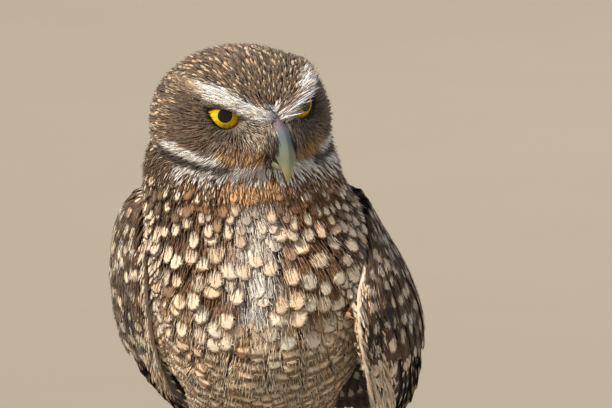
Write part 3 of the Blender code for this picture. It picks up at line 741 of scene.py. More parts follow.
def lid_outline(count=56):
    """The opening between the lids, as places toward the bill and up: first the upper lid."""
    share = np.arange(count) / count * 2
    upper = share < 1
    along = np.where(upper, share, 2 - share)
    lens = np.sin(np.pi * along) ** 0.85
    edge = LID_OUTER + (LID_INNER - LID_OUTER) * along[:, None]
    return edge + np.column_stack([0 * lens, np.where(upper, UPPER_LID_RISE, -LOWER_LID_DROP) * lens])


def lid_normals(outline):
    """Directions that lead out of the opening, one for each point of its outline."""
    run = np.roll(outline, -1, axis=0) - np.roll(outline, 1, axis=0)
    off = unit(np.column_stack([-run[:, 1], run[:, 0]]))
    return off * np.sign(np.sum(off * (outline - outline.mean(axis=0)), axis=1, keepdims=True))


def in_eye(places, side):
    """Places of the bird as seen on one eye: toward the bill, up, and out of the eye."""
    middle, to_bill, outward, up = eye_frame(side)
    return (to_head(places) - middle) @ np.column_stack([to_bill, up, outward])


def lid_distance(flat):
    """How far places on an eye lie outside the opening, in millimetres, or below 0 inside it."""
    outline = lid_outline()
    away = np.linalg.norm(flat[:, None] - outline[None], axis=2).min(axis=1)
    chord = LID_INNER - LID_OUTER
    along = np.clip((flat - LID_OUTER) @ chord / np.sum(chord**2), 0, 1)
    above = flat[:, 1] - (LID_OUTER + chord * along[:, None])[:, 1]
    lens = np.sin(np.pi * along) ** 0.85
    inside = (above < UPPER_LID_RISE * lens) & (above > -LOWER_LID_DROP * lens) & (along > 0) & (along < 1)
    return np.where(inside, -away, away)


def is_bare(places, lid_margin=0.15):
    """Where no feather may start: the eyes and the root of the bill."""
    local = to_head(places)
    bare = (np.abs(local[:, 0]) < 4.0) & (local[:, 1] < -30.0) & (np.abs(local[:, 2] - 0.2) < 8.4)
    for side, _ in SIDES:
        at = in_eye(places, side)
        near = (at[:, 2] > 3.0) & (np.hypot(at[:, 0], at[:, 1]) < 14.0)
        which = np.flatnonzero(near)
        bare[which] |= lid_distance(at[which, :2]) < lid_margin
    return bare


def clear_of_eyes(line, lift=0.35):
    """Pushes middle lines out of the eyeballs, so that they lie on the lids."""
    stations = line.shape[1]
    floor = LID_TOP + lift * np.linspace(0, 1.6, stations)[None, :, None]
    for side, _ in SIDES:
        middle = from_head(eye_frame(side)[0])
        away = line - middle
        reach = np.linalg.norm(away, axis=2, keepdims=True)
        line = np.where(reach < floor, middle + away / reach * floor, line)
    return line


# %% [markdown]
# ## Skin
# The skin is the guide drawn in by the depth of the coat, which is thin on the face and thick on the
# breast. The fleshy part of each wing and the root of the tail are melted into it.

# %% Depth of the coat and the skin
TAIL_ROOT, TAIL_TIP = np.array([0.0, 55.0, 58.6]), np.array([0.0, 93.0, 12.5])
SKIN_VOXEL, SUNK_RADIUS = 1.2, 6.8


def coat_depth(places):
    local = to_head(places)
    on_head = step_up(local[:, 2], -16.0, -8.0)
    on_face = on_head * step_up(local[:, 1], -8.0, -16.0) * step_up(local[:, 2], 19.0, 13.0)
    on_leg = step_up(places[:, 2], 76.0, 56.0) * step_up(places[:, 1], 44.0, 34.0)
    depth = 4.6 - 2.0 * on_head - 1.3 * on_face
    return depth * (1 - on_leg) + 1.7 * on_leg


def tail_flesh():
    run = unit(TAIL_TIP - TAIL_ROOT)
    up = unit(np.cross([1.0, 0, 0], run))
    angles = np.linspace(0, 2 * np.pi, 16, endpoint=False)
    rings = []
    for share, wide, deep in ((-0.2, 9.5, 6.0), (0.0, 9.0, 5.0), (0.15, 7.5, 3.2), (0.28, 5.0, 1.4)):
        ring = TAIL_ROOT + (TAIL_TIP - TAIL_ROOT) * share
        ring = ring + np.outer(np.cos(angles) * wide, [1, 0, 0])
        rings.append(ring + np.outer(np.sin(angles) * deep, up))
    return tube(rings)


drawn_in = guide.points - guide.normals * coat_depth(guide.points)[:, None]
skin_shapes = [(drawn_in, guide.faces), tail_flesh()]
skin_shapes += [wing.flesh(0.55, 2.6, 5.0) for wing in WINGS]
skin_points, skin_faces = melted(skin_shapes, SKIN_VOXEL, 3)
# Behind each opening the skin sinks under the eyeball.
for side, _ in SIDES:
    at = in_eye(skin_points, side)
    ahead = np.flatnonzero((at[:, 2] > 3.0) & (np.hypot(at[:, 0], at[:, 1]) < 12.0))
    sunk = ahead[lid_distance(at[ahead, :2]) < 0.6]
    middle = from_head(eye_frame(side)[0])
    skin_points[sunk] = middle + unit(skin_points[sunk] - middle) * SUNK_RADIUS
print("skin:", len(skin_faces), "triangles")

# %% [markdown]
# ## Markings
# A burrowing owl is umber above with buff and white spots, and below it is pale with brown scallops
# that turn into bars. White brows meet over the bill, a white band crosses the throat, and a dark
# line runs under each cheek. These zones are drawn once, as smooth shares between 0 and 1 at any
# place, so that the skin and every feather over it take the same colours.

# %% Named colours
UMBER = srgb(98, 73, 50)
DARK_UMBER = srgb(54, 40, 29)
WARM_BROWN = srgb(142, 100, 60)
GREY_BROWN = srgb(138, 119, 97)
RUFOUS = srgb(190, 146, 96)
TAWNY = srgb(232, 184, 132)
BUFF = srgb(214, 184, 146)
CREAM = srgb(232, 214, 188)
WARM_CREAM = CREAM * [1.0, 0.96, 0.88]
WHITE = srgb(240, 234, 226)
BLACKISH = srgb(30, 25, 22)
CHEEK_LINE = ((34.0, -3.0), (28.3, -5.5), (22.5, -7.2))
COLLAR_LINE = ((35.0, -6.0), (31.8, -7.2), (28.0, -8.8), (22.0, -9.4), (18.0, -9.4))
THROAT_LINE = ((29.0, -13.9), (18.0, -12.2), (0.0, -11.7))


def zones(places):
    """Shares of each marking at places on the coat."""
    local = to_head(places)
    out, ahead, up = np.abs(local[:, 0]), -local[:, 1], local[:, 2]
    x, y, z = places.T
    head = step_up(up, -17.0, -13.0)
    brow_height = np.interp(out, *np.array(BROW_LINE).T)
    front = step_up(ahead, 4.0, 9.0)
    brow_end = step_up(out, 25.5, 21.5)
    from_brow = near_line(out, up, BROW_LINE)
    found = {
        "head": head,
        "brow": head * front * step_up(from_brow, 3.3, 2.1) * brow_end,
        "brow_tail": head * front * step_up(from_brow, 2.6, 1.5) * step_up(out, 28.0, 25.0),
        "crown": head * np.maximum(step_up(up, brow_height, brow_height + 1.5), 1 - front),
        "disc": head * front * step_up(up, brow_height, brow_height - 1.5),
        "cheek": head * step_up(ahead, 0.0, 6.0) * step_up(near_line(out, up, CHEEK_LINE), 2.4, 1.2),
        "collar": head * step_up(near_line(out, up, COLLAR_LINE), 2.4, 1.3) * step_up(ahead, -4.0, 2.0),
        "throat": step_up(near_line(out, up, THROAT_LINE), 4.3, 3.0) * step_up(ahead, 6.0, 12.0),
        "lore": head * step_up(np.hypot(out - 5.0, up - 4.0), 10.5, 5.0) * step_up(ahead, 20.0, 25.0),
        "gape": head * step_up(near_line(out, up, ((4.0, -6.0), (21.0, -5.0))), 4.2, 1.2) * front,
        "ear": head * step_up(out, 20.0, 27.0) * front,
        "eye_ring": head * step_up(np.hypot(out - 17.0, (up - 8.6) * 1.15), 10.5, 7.5) * front,
    }
    below = (1 - head) * (1 - found["throat"])
    ahead_side = step_up(y, 12.0, -6.0)
    found["back"] = below * (1 - ahead_side)
    found["bib"] = below * step_up(np.abs(x + 4.0), 13.0, 6.0) * step_up(z, 147.0, 152.0) * ahead_side
    found["midline"] = np.exp(-(((x + 1.0) / 8.5) ** 2)) * step_up(z, 84.0, 100.0) * step_up(z, 152.0, 142.0)
    found["midline"] = found["midline"] * ahead_side * below
    found["chest"] = below * ahead_side * step_up(np.abs(x), 34.0, 24.0)
    found["low"] = below * step_up(z, 132.0, 98.0) * ahead_side
    found["belly"] = below * step_up(z, 108.0, 88.0) * step_up(y, 46.0, 34.0)
    found["leg"] = step_up(z, 68.0, 58.0) * step_up(y, 42.0, 34.0)
    return found


def blended(base, *layers):
    """Colours at each place: a base colour, covered by further colours by their shares."""
    made = np.broadcast_to(base, (len(layers[0][0]), 3)).copy()
    for share, colour in layers:
        made += (np.asarray(colour) - made) * np.clip(share, 0, 1)[:, None]
    return made


def ground_colour(found):
    """The coat's ground colour, which the skin shares."""
    return blended(
        UMBER,
        (found["crown"] * 0.3, GREY_BROWN),
        (found["disc"], GREY_BROWN),
        (found["disc"] * found["ear"] * 0.7, UMBER),
        (found["chest"] * 0.8, WARM_BROWN),
        (found["low"], WARM_BROWN),
        (found["midline"], (CREAM + WHITE) / 2),
        (found["bib"] * 0.9, TAWNY),
        (found["belly"], WARM_CREAM),
        (found["leg"], BUFF),
        (found["lore"] * 0.55, CREAM),
        (found["eye_ring"] * 0.45, DARK_UMBER),
        (found["gape"] * 0.85, RUFOUS),
        (found["brow_tail"] * 0.6, BUFF),
        (found["cheek"], WHITE),
        (found["throat"], WHITE),
        (found["brow"], WHITE),
        (found["collar"] * 0.9, DARK_UMBER),
    )


# %% [markdown]
# ## The plumage paint
# One paint covers skin and feathers. Each feather carries its ground colour, the colour of its spot,
# and where that spot lies, as numbers at its points. The paint draws the spot as a soft round mark
# with a darker rim, which can repeat along the feather as bars do, and it adds fine streaks that
# slant from the shaft as barbs do.

# %% Plumage paint


def plumage_paint():
    paint = Paint("plumage", Roughness=0.72, Specular_IOR_Level=0.25, Sheen_Weight=0.12, Sheen_Roughness=0.5)
    along, across, lot = paint.parts(paint.read("vane", out="Vector"))
    middle, beside, repeats = paint.parts(paint.read("mark_at", out="Vector"))
    tall, wide, soft = paint.parts(paint.read("mark_size", out="Vector"))
    ground, length = paint.read("ground"), paint.read("ground", out="Alpha")
    mark, half_width = paint.read("mark"), paint.read("mark", out="Alpha")
    outward = across.maths("ABSOLUTE")
    barb = along * length * 100.0 - outward * half_width * 55.0
    strand = paint.vector(barb * 1.5, across * 0.9 + lot * 37.0, lot * 91.0)
    streak = paint.noise(strand, 1.0, 3.0)
    blotch = paint.noise(paint.vector(along * 3.0, across * 1.6, lot * 53.0), 1.0, 1.0)
    cell = (along - middle) * repeats + 0.5
    over = (cell - cell.maths("FLOOR") - 0.5) / (tall * repeats)
    aside = (outward - beside) / wide
    away = (over * over + aside * aside) ** 0.5 + (streak - 0.5) * 0.9 + (blotch - 0.5) * 0.5
    spot = away.rise(1.2, 0.78) * soft
    rim = away.rise(1.7, 1.25) * away.rise(0.8, 1.05) * soft
    shade = 1.0 * (streak - 0.5) * 0.75 + (lot - 0.5) * 0.22 + 1.0 - rim * 0.36
    painted = paint.mix(paint.darker(ground, shade), paint.darker(mark, shade), spot)
    normal = paint.bump(streak, 0.45, 0.0003)
    return paint.cover(Base_Color=painted, Normal=normal)


plumage = plumage_paint()
skin_zones = zones(skin_points)
# The skin takes the coat's ground colour darkened to three quarters, as painted shade in the gaps between
# feathers where it shows.
skin_ground_painted_shade = ground_colour(skin_zones) * 0.75
blank = np.zeros((len(skin_points), 3))
skin_attributes = {
    "vane": np.column_stack([skin_points[:, 2] / 100, skin_points[:, 0] / 100, blank[:, 0] + 0.5]),
    "mark_at": blank + [0.0, 0.0, 1.0],
    "mark_size": blank + [1.0, 1.0, 0.0],
    "ground": np.column_stack([skin_ground_painted_shade, blank[:, 0] + 1.0]),
    "mark": np.column_stack([skin_ground_painted_shade, blank[:, 0] + 1.0]),
}
skin = put_mesh("skin", skin_points, skin_faces, plumage, skin_attributes)
hand_in(skin, FLESH + ["wing_left", "wing_right", "tail"])

# %% [markdown]
# ## From tufts to a piece
# A coat piece is one mesh of many tufts. Beside the markings it holds a map, OFBake, in which each
# tuft is a small patch at its root's place on the skin rolled out flat: round the trunk and up it for
# the body, round the head's own axis for the head.

# %% Rolled-out map and coat pieces
PATCH = 0.003


def rolled_out(places, centre, axis_frame, low, high):
    """Each place as a share round an axis and a share along it."""
    local = (places - centre) @ axis_frame
    round_share = np.arctan2(local[:, 0], local[:, 1]) / (2 * np.pi) + 0.5
    along_share = (local[:, 2] - low) / (high - low)
    return np.clip(np.column_stack([round_share, along_share]), 0.01, 0.99)


def coat_piece(name, tufts, pattern, on_map, seed):
    """One mesh of all the tufts, with markings and map. on_map gives the roots' places on the map,
    or is a way to roll them out."""
    draw = np.random.default_rng(seed)
    roots_on_map = on_map(tufts.line[:, 0]) if callable(on_map) else on_map
    points, faces = tufts.shape(pattern, draw)
    table = PATTERNS[pattern][0]
    count, size = len(tufts.line), len(table)
    lot = draw.random(count)

    def spread(values):
        return np.repeat(np.broadcast_to(values, (count, np.shape(values)[-1])), size, axis=0)

    shares = np.tile(table[:, :2], (count, 1))
    marks = tufts.marks
    ground = spread(marks["ground"])
    if "along" in marks:
        stops = marks["along"].shape[1]
        where = table[:, 0] * (stops - 1)
        weights = np.array([np.interp(where, np.arange(stops), row) for row in np.eye(stops)])
        ground = np.einsum("sv,nsk->nvk", weights, marks["along"]).reshape(-1, 3)
    attributes = {
        "vane": np.column_stack([shares, np.repeat(lot, size)]),
        "mark_at": spread(marks["at"]),
        "mark_size": spread(marks["size"]),
        "ground": np.column_stack([ground, np.repeat(tufts.lengths() / 100, size)]),
        "mark": np.column_stack([spread(marks["mark"]), np.repeat(tufts.half_width / 100, size)]),
    }
    offset = np.column_stack([shares[:, 1] * 0.5, shares[:, 0] - 0.5]) * PATCH
    uv = np.repeat(roots_on_map, size, axis=0) + offset
    piece = put_mesh(name, points, faces, plumage, attributes, uv)
    return hand_in(piece)


def head_map(places):
    """Rolled out round the way that the head faces, from the bill to the nape."""
    return rolled_out(places, HEAD_AT, HEAD_FRAME[:, [0, 2, 1]], -40.0, 36.0)


def body_map(places):
    """Rolled out round an upright axis through the trunk."""
    return rolled_out(places, np.array([0.0, 10.0, 0.0]), np.eye(3), 0.0, 190.0)


def plain_marks(ground):
    """Markings of feathers that have no spot."""
    blank = np.zeros((len(ground), 3))
    return {"at": blank + [0.5, 0, 1.0], "size": blank + [0.2, 0.2, 0.0], "ground": ground, "mark": ground}


# %% [markdown]
# ## Coat of the head
# The crown has small lance-shaped feathers with buff shafts. The face has fine loose ones that leave
# the eyes and the bill free, and the brows hang over the eyes. Lengths and widths in millimetres
# depend on the place, and each feather is marked for the zone in which its outer part lies.

# %% Growing a coat
LID_TOP = 8.9


def at_each(value, places):
    """A number for each place, from a function of places or from one number."""
    return value(places) if callable(value) else np.full(len(places), float(value))


def grow(surface, spacing_at, seed, length, half, depth, lift, stations=STATIONS, swing=7.0, **build):
    """Tufts on a surface. They start under it by a depth, and their tips stand off by a lift. Length,
    half width, depth and lift are each one number or a function of places."""
    draw = np.random.default_rng(seed)
    roots = surface.scatter(spacing_at, seed)
    count = len(roots)
    lengths = at_each(length, roots) * np.clip(1 + 0.10 * draw.standard_normal(count), 0.7, 1.3)
    turn = np.radians(swing) * draw.standard_normal(count)
    line, ups = spines(surface, roots, lengths, turn, stations)
    half = at_each(half, roots) * np.clip(1 + 0.10 * draw.standard_normal(count), 0.75, 1.3)
    roll = np.radians(9.0) * draw.standard_normal(count)
    tufts = Tufts(line, ups, half, roll=roll, **build)
    share = np.linspace(0, 1, stations)
    stand = at_each(lift, roots) * np.clip(1 + 0.5 * draw.standard_normal(count), 0.1, 2.0)
    deep = at_each(depth, roots)[:, None]
    return tufts.raise_by(-deep * (1 - share) ** 1.3 + stand[:, None] * share**2)


def varied(colours, draw, amount=0.10):
    """The same colours, each a little lighter or darker and warmer or colder."""
    tone = 1 + amount * draw.standard_normal((len(colours), 1))
    warm = 0.05 * draw.standard_normal((len(colours), 1)) * [1.0, 0.0, -1.0]
    return np.clip(colours * tone * (1 + warm), 0.004, 0.95)


SPOTLESS = ("disc", "brow", "throat", "cheek", "bib", "leg", "collar")


def mark_tufts(tufts, seed):
    """Sets where each feather carries its spot, how large it is, and both its colours."""
    draw = np.random.default_rng(seed)
    places = tufts.line[:, -2]
    found = zones(places)
    count = len(places)
    length = tufts.lengths()
    ground = varied(ground_colour(found), draw)
    mark = blended(BUFF, (found["low"] * 0.8, CREAM), ((1 - found["head"]) * 0.6, CREAM))
    at = np.column_stack([np.full(count, 0.86), np.zeros(count), np.ones(count)])
    full = found["low"]
    neck = step_up(places[:, 2], 136.0, 149.0)
    tall = np.clip((2.8 + 0.2 * full - 0.6 * neck) * (1 + 0.14 * draw.standard_normal(count)), 1.5, 3.7)
    wide = np.clip((0.84 + 0.06 * full - 0.34 * neck) * (1 + 0.12 * draw.standard_normal(count)), 0.2, 0.92)
    at[:, 0] = 1.0 - (tall + 0.8) / length
    size = np.column_stack([tall / length, wide, np.ones(count)])
    size[draw.random(count) < 0.04 + 0.45 * neck, 2] = 0.12
    streaked = (found["crown"] > 0.5) | (found["collar"] > 0.5)
    at[streaked, 0] = 0.80
    size[streaked, 0] = 0.17 + 0.10 * draw.random(streaked.sum())
    size[streaked, 1] = 0.28 + 0.16 * draw.random(streaked.sum())
    size[streaked, 2] = np.where(draw.random(count) < 0.74, 0.9, 0.15)[streaked]
    plain = np.max([found[zone] for zone in SPOTLESS], axis=0) > 0.5
    size[plain, 2] = 0.0
    middle = (found["midline"] > 0.45) & (draw.random(count) < 0.85)
    mark[middle] = WARM_BROWN
    at[middle, 0] = 0.8
    size[middle, 0], size[middle, 1], size[middle, 2] = 0.25, 0.16, 0.3
    barred = found["belly"] > 0.7
    mark[barred] = WARM_BROWN * 0.6
    at[barred] = np.column_stack([0.98 - 0.14 * draw.random(count), 0 * length, length / 3.9])[barred]
    thin = (0.65 + 0.4 * draw.random(count)) / length
    size[barred] = np.column_stack([thin, 0.8 + 0.5 * draw.random(count), np.full(count, 0.9)])[barred]
    mark = varied(mark, draw, 0.08)
    tufts.marks = {"at": at, "size": size, "ground": ground, "mark": mark}
    return tufts


def read_marks(lines, tufts, draw):
    """The colours that a coat of tufts shows along lines over it, from the spots nearest to them."""
    places = lines.reshape(-1, 3)
    count = len(tufts.line)
    at, size = tufts.marks["at"], tufts.marks["size"]
    last = tufts.line.shape[1] - 1
    station = np.clip(at[:, 0], 0, 1) * last
    low = np.minimum(station.astype(int), last - 1)
    rows = np.arange(count)
    share = (station - low)[:, None]
    spots = tufts.line[rows, low] * (1 - share) + tufts.line[rows, low + 1] * share
    runs = unit(tufts.line[:, -1] - tufts.line[:, -3])
    tree = KDTree(count)
    for i, spot in enumerate(spots.tolist()):
        tree.insert(spot, i)
    tree.balance()
    near = np.array([tree.find(place)[1] for place in places.tolist()])
    away = places - spots[near]
    forward = np.sum(away * runs[near], axis=1)
    aside = np.sqrt(np.maximum(np.sum(away**2, axis=1) - forward**2, 0))
    length, half, repeats = tufts.lengths()[near], tufts.half_width[near], at[near, 2]
    cell = forward / length * repeats
    forward = np.where(repeats >= 2, cell - np.round(cell), cell) * length / repeats
    aside = np.abs(aside - at[near, 1] * half)
    reach = np.hypot(forward / (size[near, 0] * length), aside / (size[near, 1] * half))
    reach = reach + np.repeat(0.12 * draw.standard_normal(len(lines)), lines.shape[1])
    inside = step_up(reach, 1.15, 0.85) * size[near, 2]
    edge = step_up(reach, 1.6, 1.25) * step_up(reach, 0.9, 1.15) * size[near, 2]
    ground, mark = tufts.marks["ground"][near], tufts.marks["mark"][near]
    colour = ground * (1 - 0.3 * edge[:, None]) + (mark - ground) * inside[:, None]
    return colour.reshape(lines.shape)


def matched(locks, tufts, draw, tone=0.16):
    """Gives loose locks the colours of the feathers on which they lie."""
    colours = read_marks(locks.line, tufts, draw)
    colours = np.clip(colours * (1 + tone * draw.standard_normal((len(colours), 1, 1))), 0.004, 0.95)
    locks.marks = plain_marks(colours[:, 2])
    locks.marks["along"] = colours
    return locks


def down_over(tufts, surface, spacing_at, seed, length, half, lift, depth=0.3, tone=0.16):
    """Fine loose locks over a coat."""
    draw = np.random.default_rng(seed)
    locks = grow(surface, spacing_at, seed, length, half, depth, lift, 4, 11.0, thick=0.12, camber=0.0)
    locks.line = clear_of_eyes(locks.line)
    return matched(locks, tufts, draw, tone)


# %% Crown, face and throat


def crown_spacing(scale):
    def spacing(middles):
        found = zones(middles)
        local = to_head(middles)
        wanted = (found["crown"] > 0.5) & (local[:, 2] > -15.0)
        fine = step_up(local[:, 1], -10.0, -22.0)
        return np.where(wanted, (2.05 - 0.55 * fine) * scale, 0.0)

    return spacing


def crown_length(places):
    return 8.2 - 3.0 * step_up(to_head(places)[:, 1], -10.0, -24.0)


def crown_width(places):
    return 1.6 - 0.5 * step_up(to_head(places)[:, 1], -10.0, -24.0)


crown = grow(guide, crown_spacing(1.0), 11, crown_length, crown_width, 2.4, 0.4, swing=9.0)
crown = mark_tufts(crown, 12)
coat_piece("coat_crown", crown, "small", head_map, 13)
down = down_over(crown, guide, crown_spacing(0.5), 14, lambda p: 0.62 * crown_length(p), 0.3, 0.6)
coat_piece("down_crown", down, "lock", head_map, 15)


def face_spacing(middles):
    found = zones(middles)
    wanted = (found["crown"] < 0.55) & (found["head"] > 0.3) & (found["throat"] < 0.8)
    near_bill = step_up(np.hypot(*(to_head(middles)[:, [0, 2]] - [0.0, 1.0]).T), 20.0, 9.0)
    spacing = 0.82 - 0.16 * near_bill
    return np.where(wanted & ~is_bare(middles), spacing, 0.0)


def face_length(places):
    local = to_head(places)
    out = np.abs(local[:, 0])
    near_eye = step_up(np.hypot(out - 15.0, local[:, 2] - 8.6), 12.0, 7.0)
    return 6.4 - 2.4 * near_eye + 1.0 * step_up(out, 18.0, 26.0)


def face_depth(places):
    """Less deep at the eyes, so that the first feathers show from their roots."""
    near = [np.hypot(*in_eye(places, side)[:, :2].T) for side in (-1, 1)]
    return 0.15 + 0.65 * step_up(np.minimum(*near), 7.0, 10.0)


face = grow(guide, face_spacing, 21, face_length, 0.42, face_depth, 0.8, 5, 10.0, thick=0.14)
face.line = clear_of_eyes(face.line)
face = mark_tufts(face, 22)
coat_piece("coat_face", face, "lock", head_map, 23)


def face_down_spacing(middles):
    return 0.85 * face_spacing(middles)


down = down_over(face, guide, face_down_spacing, 24, lambda p: 0.75 * face_length(p), 0.17, 1.3, 0.2, 0.3)
coat_piece("down_face", down, "lock", head_map, 25)


def brow_spacing(middles):
    return np.where((zones(middles)["brow"] > 0.6) & ~is_bare(middles, 1.5), 0.95, 0.0)


def brow_lift(places):
    return 3.0 - 2.5 * step_up(np.abs(to_head(places)[:, 0]), 13.0, 19.0)


brow = grow(guide, brow_spacing, 26, 6.5, 0.42, 0.2, brow_lift, 5, 8.0)
brow = mark_tufts(brow, 27)
coat_piece("coat_brows", brow, "lock", head_map, 28)


def throat_spacing(middles):
    found = zones(middles)
    local = to_head(middles)
    ring = (local[:, 2] < -6.0) & (local[:, 2] > -22.0) & (local[:, 1] < -2.0)
    return np.where(ring & (found["throat"] > 0.15), 1.0, 0.0)


throat = grow(guide, throat_spacing, 31, 7.5, 0.6, 1.4, 1.1, 5, 10.0)
throat = mark_tufts(throat, 32)
coat_piece("coat_throat", throat, "lock", head_map, 33)

# %% [markdown]
# ## Coat of the body and legs
# Broad feathers lie over each other like tiles, in rows that run down breast and back. They get
# smaller toward the neck and the legs. Fine loose barbs soften them.

# %% Body feathers


def body_spacing(keep, scale=1.0):
    def spacing(middles):
        found = zones(middles)
        local = to_head(middles)
        on_trunk = (local[:, 2] < -11.0) & (found["leg"] < 0.5)
        near_neck = step_up(middles[:, 2], 138.0, 152.0)
        near_leg = step_up(middles[:, 2], 100.0, 84.0)
        return np.where(on_trunk & keep(middles), (5.0 - 2.0 * near_neck - 1.5 * near_leg) * scale, 0.0)

    return spacing


def body_length(places):
    near_neck = step_up(places[:, 2], 136.0, 152.0)
    near_leg = step_up(places[:, 2], 82.0, 66.0)
    return 17.0 - 5.0 * near_neck - 6.0 * near_leg


def body_width(places):
    return 4.1 - 1.6 * step_up(places[:, 2], 138.0, 152.0) - 1.1 * step_up(places[:, 2], 100.0, 76.0)


def body_depth(places):
    return 3.6 - 1.4 * step_up(places[:, 2], 140.0, 156.0)


COATS = (
    ("breast", "breast_plumage", lambda p: (p[:, 1] < 8.0) & (p[:, 2] > 108.0), 0.26),
    ("belly", "breast_plumage", lambda p: (p[:, 1] < 30.0) & (p[:, 2] <= 108.0), 0.28),
    ("back", "brown_plumage", lambda p: (p[:, 1] >= 8.0) & (p[:, 2] > 108.0), 0.34),
    ("rump", "brown_plumage", lambda p: (p[:, 1] >= 30.0) & (p[:, 2] <= 108.0), 0.34),
)
for number, (name, slot, keep, fine) in enumerate(COATS):
    seed = 41 + 5 * number
    tufts = grow(guide, body_spacing(keep), seed, body_length, body_width, body_depth, 0.7,
                 swing=5.0, camber=0.16)
    tufts = mark_tufts(tufts, seed + 1)
    coat_piece(f"coat_{name}", tufts, "body", body_map, seed + 2)
    down = down_over(tufts, guide, body_spacing(keep, fine), seed + 3,
                     lambda p: 0.26 * body_length(p), 0.24, 0.9)
    coat_piece(f"down_{name}", down, "lock", body_map, seed + 4)


def leg_spacing(middles):
    on_leg = (middles[:, 2] < 74.0) & (middles[:, 1] < 42.0) & (middles[:, 2] > 47.0)
    return np.where(on_leg, 1.6, 0.0)


legs = grow(guide, leg_spacing, 61, 7.5, 0.9, 1.2, 0.5, 5, 9.0)
legs = mark_tufts(legs, 62)
coat_piece("coat_legs", legs, "lock", body_map, 63)

# %% [markdown]
# ## Wing feathers
# The flight feathers are the longest and lie lowest. Row over row, shorter feathers cover their
# roots, up to the shoulder. A pale row runs along the front edge.

# %% Flight pattern and tiers
FLIGHT_ROWS = (0.0, 0.15, 0.3, 0.42, 0.52, 0.6, 0.68, 0.75, 0.81, 0.86, 0.9, 0.94, 0.97)
FLIGHT_WIDTHS = (0.3, 0.7, 0.9, 0.97, 1.0, 1.0, 1.0, 0.98, 0.94, 0.86, 0.74, 0.56, 0.34)
RING_OF_8 = ((-1, 0), (-0.5, 0.5), (-0.09, 0.7), (0, 1.5), (0.09, 0.7), (0.5, 0.5), (1, 0), (0, -0.7))
PATTERNS["flight"] = plate_pattern(FLIGHT_ROWS, FLIGHT_WIDTHS, 0.05, 0.10, RING_OF_8)
WING_TIERS = (
    ("primary", 10, (0.44, 0.44), (1.0, 0.80), (0.06, 0.44), (0.20, 0.66), 5.6, (-5.2, 0.2), 4.0),
    ("secondary", 11, (0.40, 0.40), (0.74, 0.82), (0.44, 0.94), (0.54, 0.96), 5.4, (0.6, 1.2), 3.0),
    ("greater_covert", 15, (0.32, 0.32), (0.55, 0.59), (0.05, 0.95), (0.07, 0.96), 4.0, (1.4, 1.6), 1.4),
    ("greater_covert", 16, (0.27, 0.27), (0.48, 0.50), (0.05, 0.95), (0.07, 0.96), 3.6, (1.7, 1.8), 1.4),
    ("median_covert", 18, (0.22, 0.22), (0.42, 0.43), (0.05, 0.94), (0.06, 0.95), 3.2, (1.9, 2.0), 1.4),
    ("median_covert", 18, (0.17, 0.17), (0.36, 0.36), (0.06, 0.93), (0.07, 0.94), 3.0, (2.1, 2.1), 1.4),
    ("lesser_covert", 20, (0.13, 0.13), (0.30, 0.30), (0.06, 0.92), (0.07, 0.93), 2.8, (2.2, 2.2), 1.4),
    ("lesser_covert", 20, (0.09, 0.09), (0.25, 0.25), (0.06, 0.92), (0.07, 0.93), 2.6, (2.2, 2.2), 1.4),
    ("lesser_covert", 19, (0.05, 0.05), (0.205, 0.205), (0.07, 0.91), (0.08, 0.92), 2.5, (2.3, 2.3), 1.4),
    ("lesser_covert", 18, (0.02, 0.02), (0.165, 0.165), (0.08, 0.90), (0.09, 0.91), 2.4, (2.3, 2.3), 1.4),
    ("lesser_covert", 17, (0.0, 0.0), (0.125, 0.125), (0.09, 0.90), (0.10, 0.91), 2.4, (2.3, 2.3), 1.4),
    ("lesser_covert", 15, (0.0, 0.0), (0.085, 0.085), (0.11, 0.89), (0.12, 0.90), 2.3, (2.2, 2.2), 1.6),
    ("alula", 3, (0.28, 0.27), (0.50, 0.44), (0.05, 0.12), (0.06, 0.13), 3.0, (1.9, 2.3), 1.2),
)


def ramp(pair, share):
    return pair[0] + (pair[1] - pair[0]) * share


def wing_marks(kind, length, draw):
    """Spots of one kind of wing feather: places, sizes and both colours."""
    count = len(length)
    one = np.ones(count)
    ground = varied(np.broadcast_to(UMBER, (count, 3)) * 0.95, draw)
    mark = varied(np.broadcast_to(CREAM, (count, 3)), draw, 0.06)
    if kind in ("primary", "secondary", "alula"):
        ground = varied(np.broadcast_to(DARK_UMBER, (count, 3)), draw)
        repeats = np.round(length / 9.0)
        at = np.column_stack([0.9 * one, 0.95 * one, repeats])
        size = np.column_stack([1.9 / length, 0.5 * one, 0.95 * one])
    else:
        large = 1.0 if kind == "greater_covert" else 0.75
        tall = large * (2.2 + 1.2 * draw.random(count))
        at = np.column_stack([1 - (tall + 1.0) / length, 0.45 * (draw.random(count) < 0.3), one])
        size = np.column_stack([tall / length, 0.5 + 0.25 * draw.random(count), 0.95 * one])
        size[draw.random(count) < 0.3, 2] = 0.15
    return {"at": at, "size": size, "ground": ground, "mark": mark}


def wing_tier(wing, tier, draw):
    """All feathers of one tier as tufts, with their roots as places on the shield."""
    kind, count, root_along, tip_along, root_across, tip_across, half, lift, sink = tier
    share = np.linspace(0, 1, count)
    root = np.column_stack([ramp(root_along, share), ramp(root_across, share)])
    tip = np.column_stack([ramp(tip_along, share), ramp(tip_across, share)])
    root += draw.normal(0, 0.005, root.shape)
    tip += draw.normal(0, 0.012, tip.shape) * [1.0, 0.8]
    s = np.linspace(0, 1, 9)
    heights = -sink + (sink + ramp(lift, share)[:, None]) * np.minimum(s / 0.45, 1.0)
    line, ups = wing.laid(root, tip, heights + draw.normal(0, 0.15, (count, 1)))
    widths = half * np.clip(1 + 0.05 * draw.standard_normal(count), 0.85, 1.15)
    tufts = Tufts(line, ups, widths, camber=0.10, thick=0.32, roll=math.radians(8.0))
    tufts.marks = wing_marks(kind, tufts.lengths(), draw)
    return tufts, root


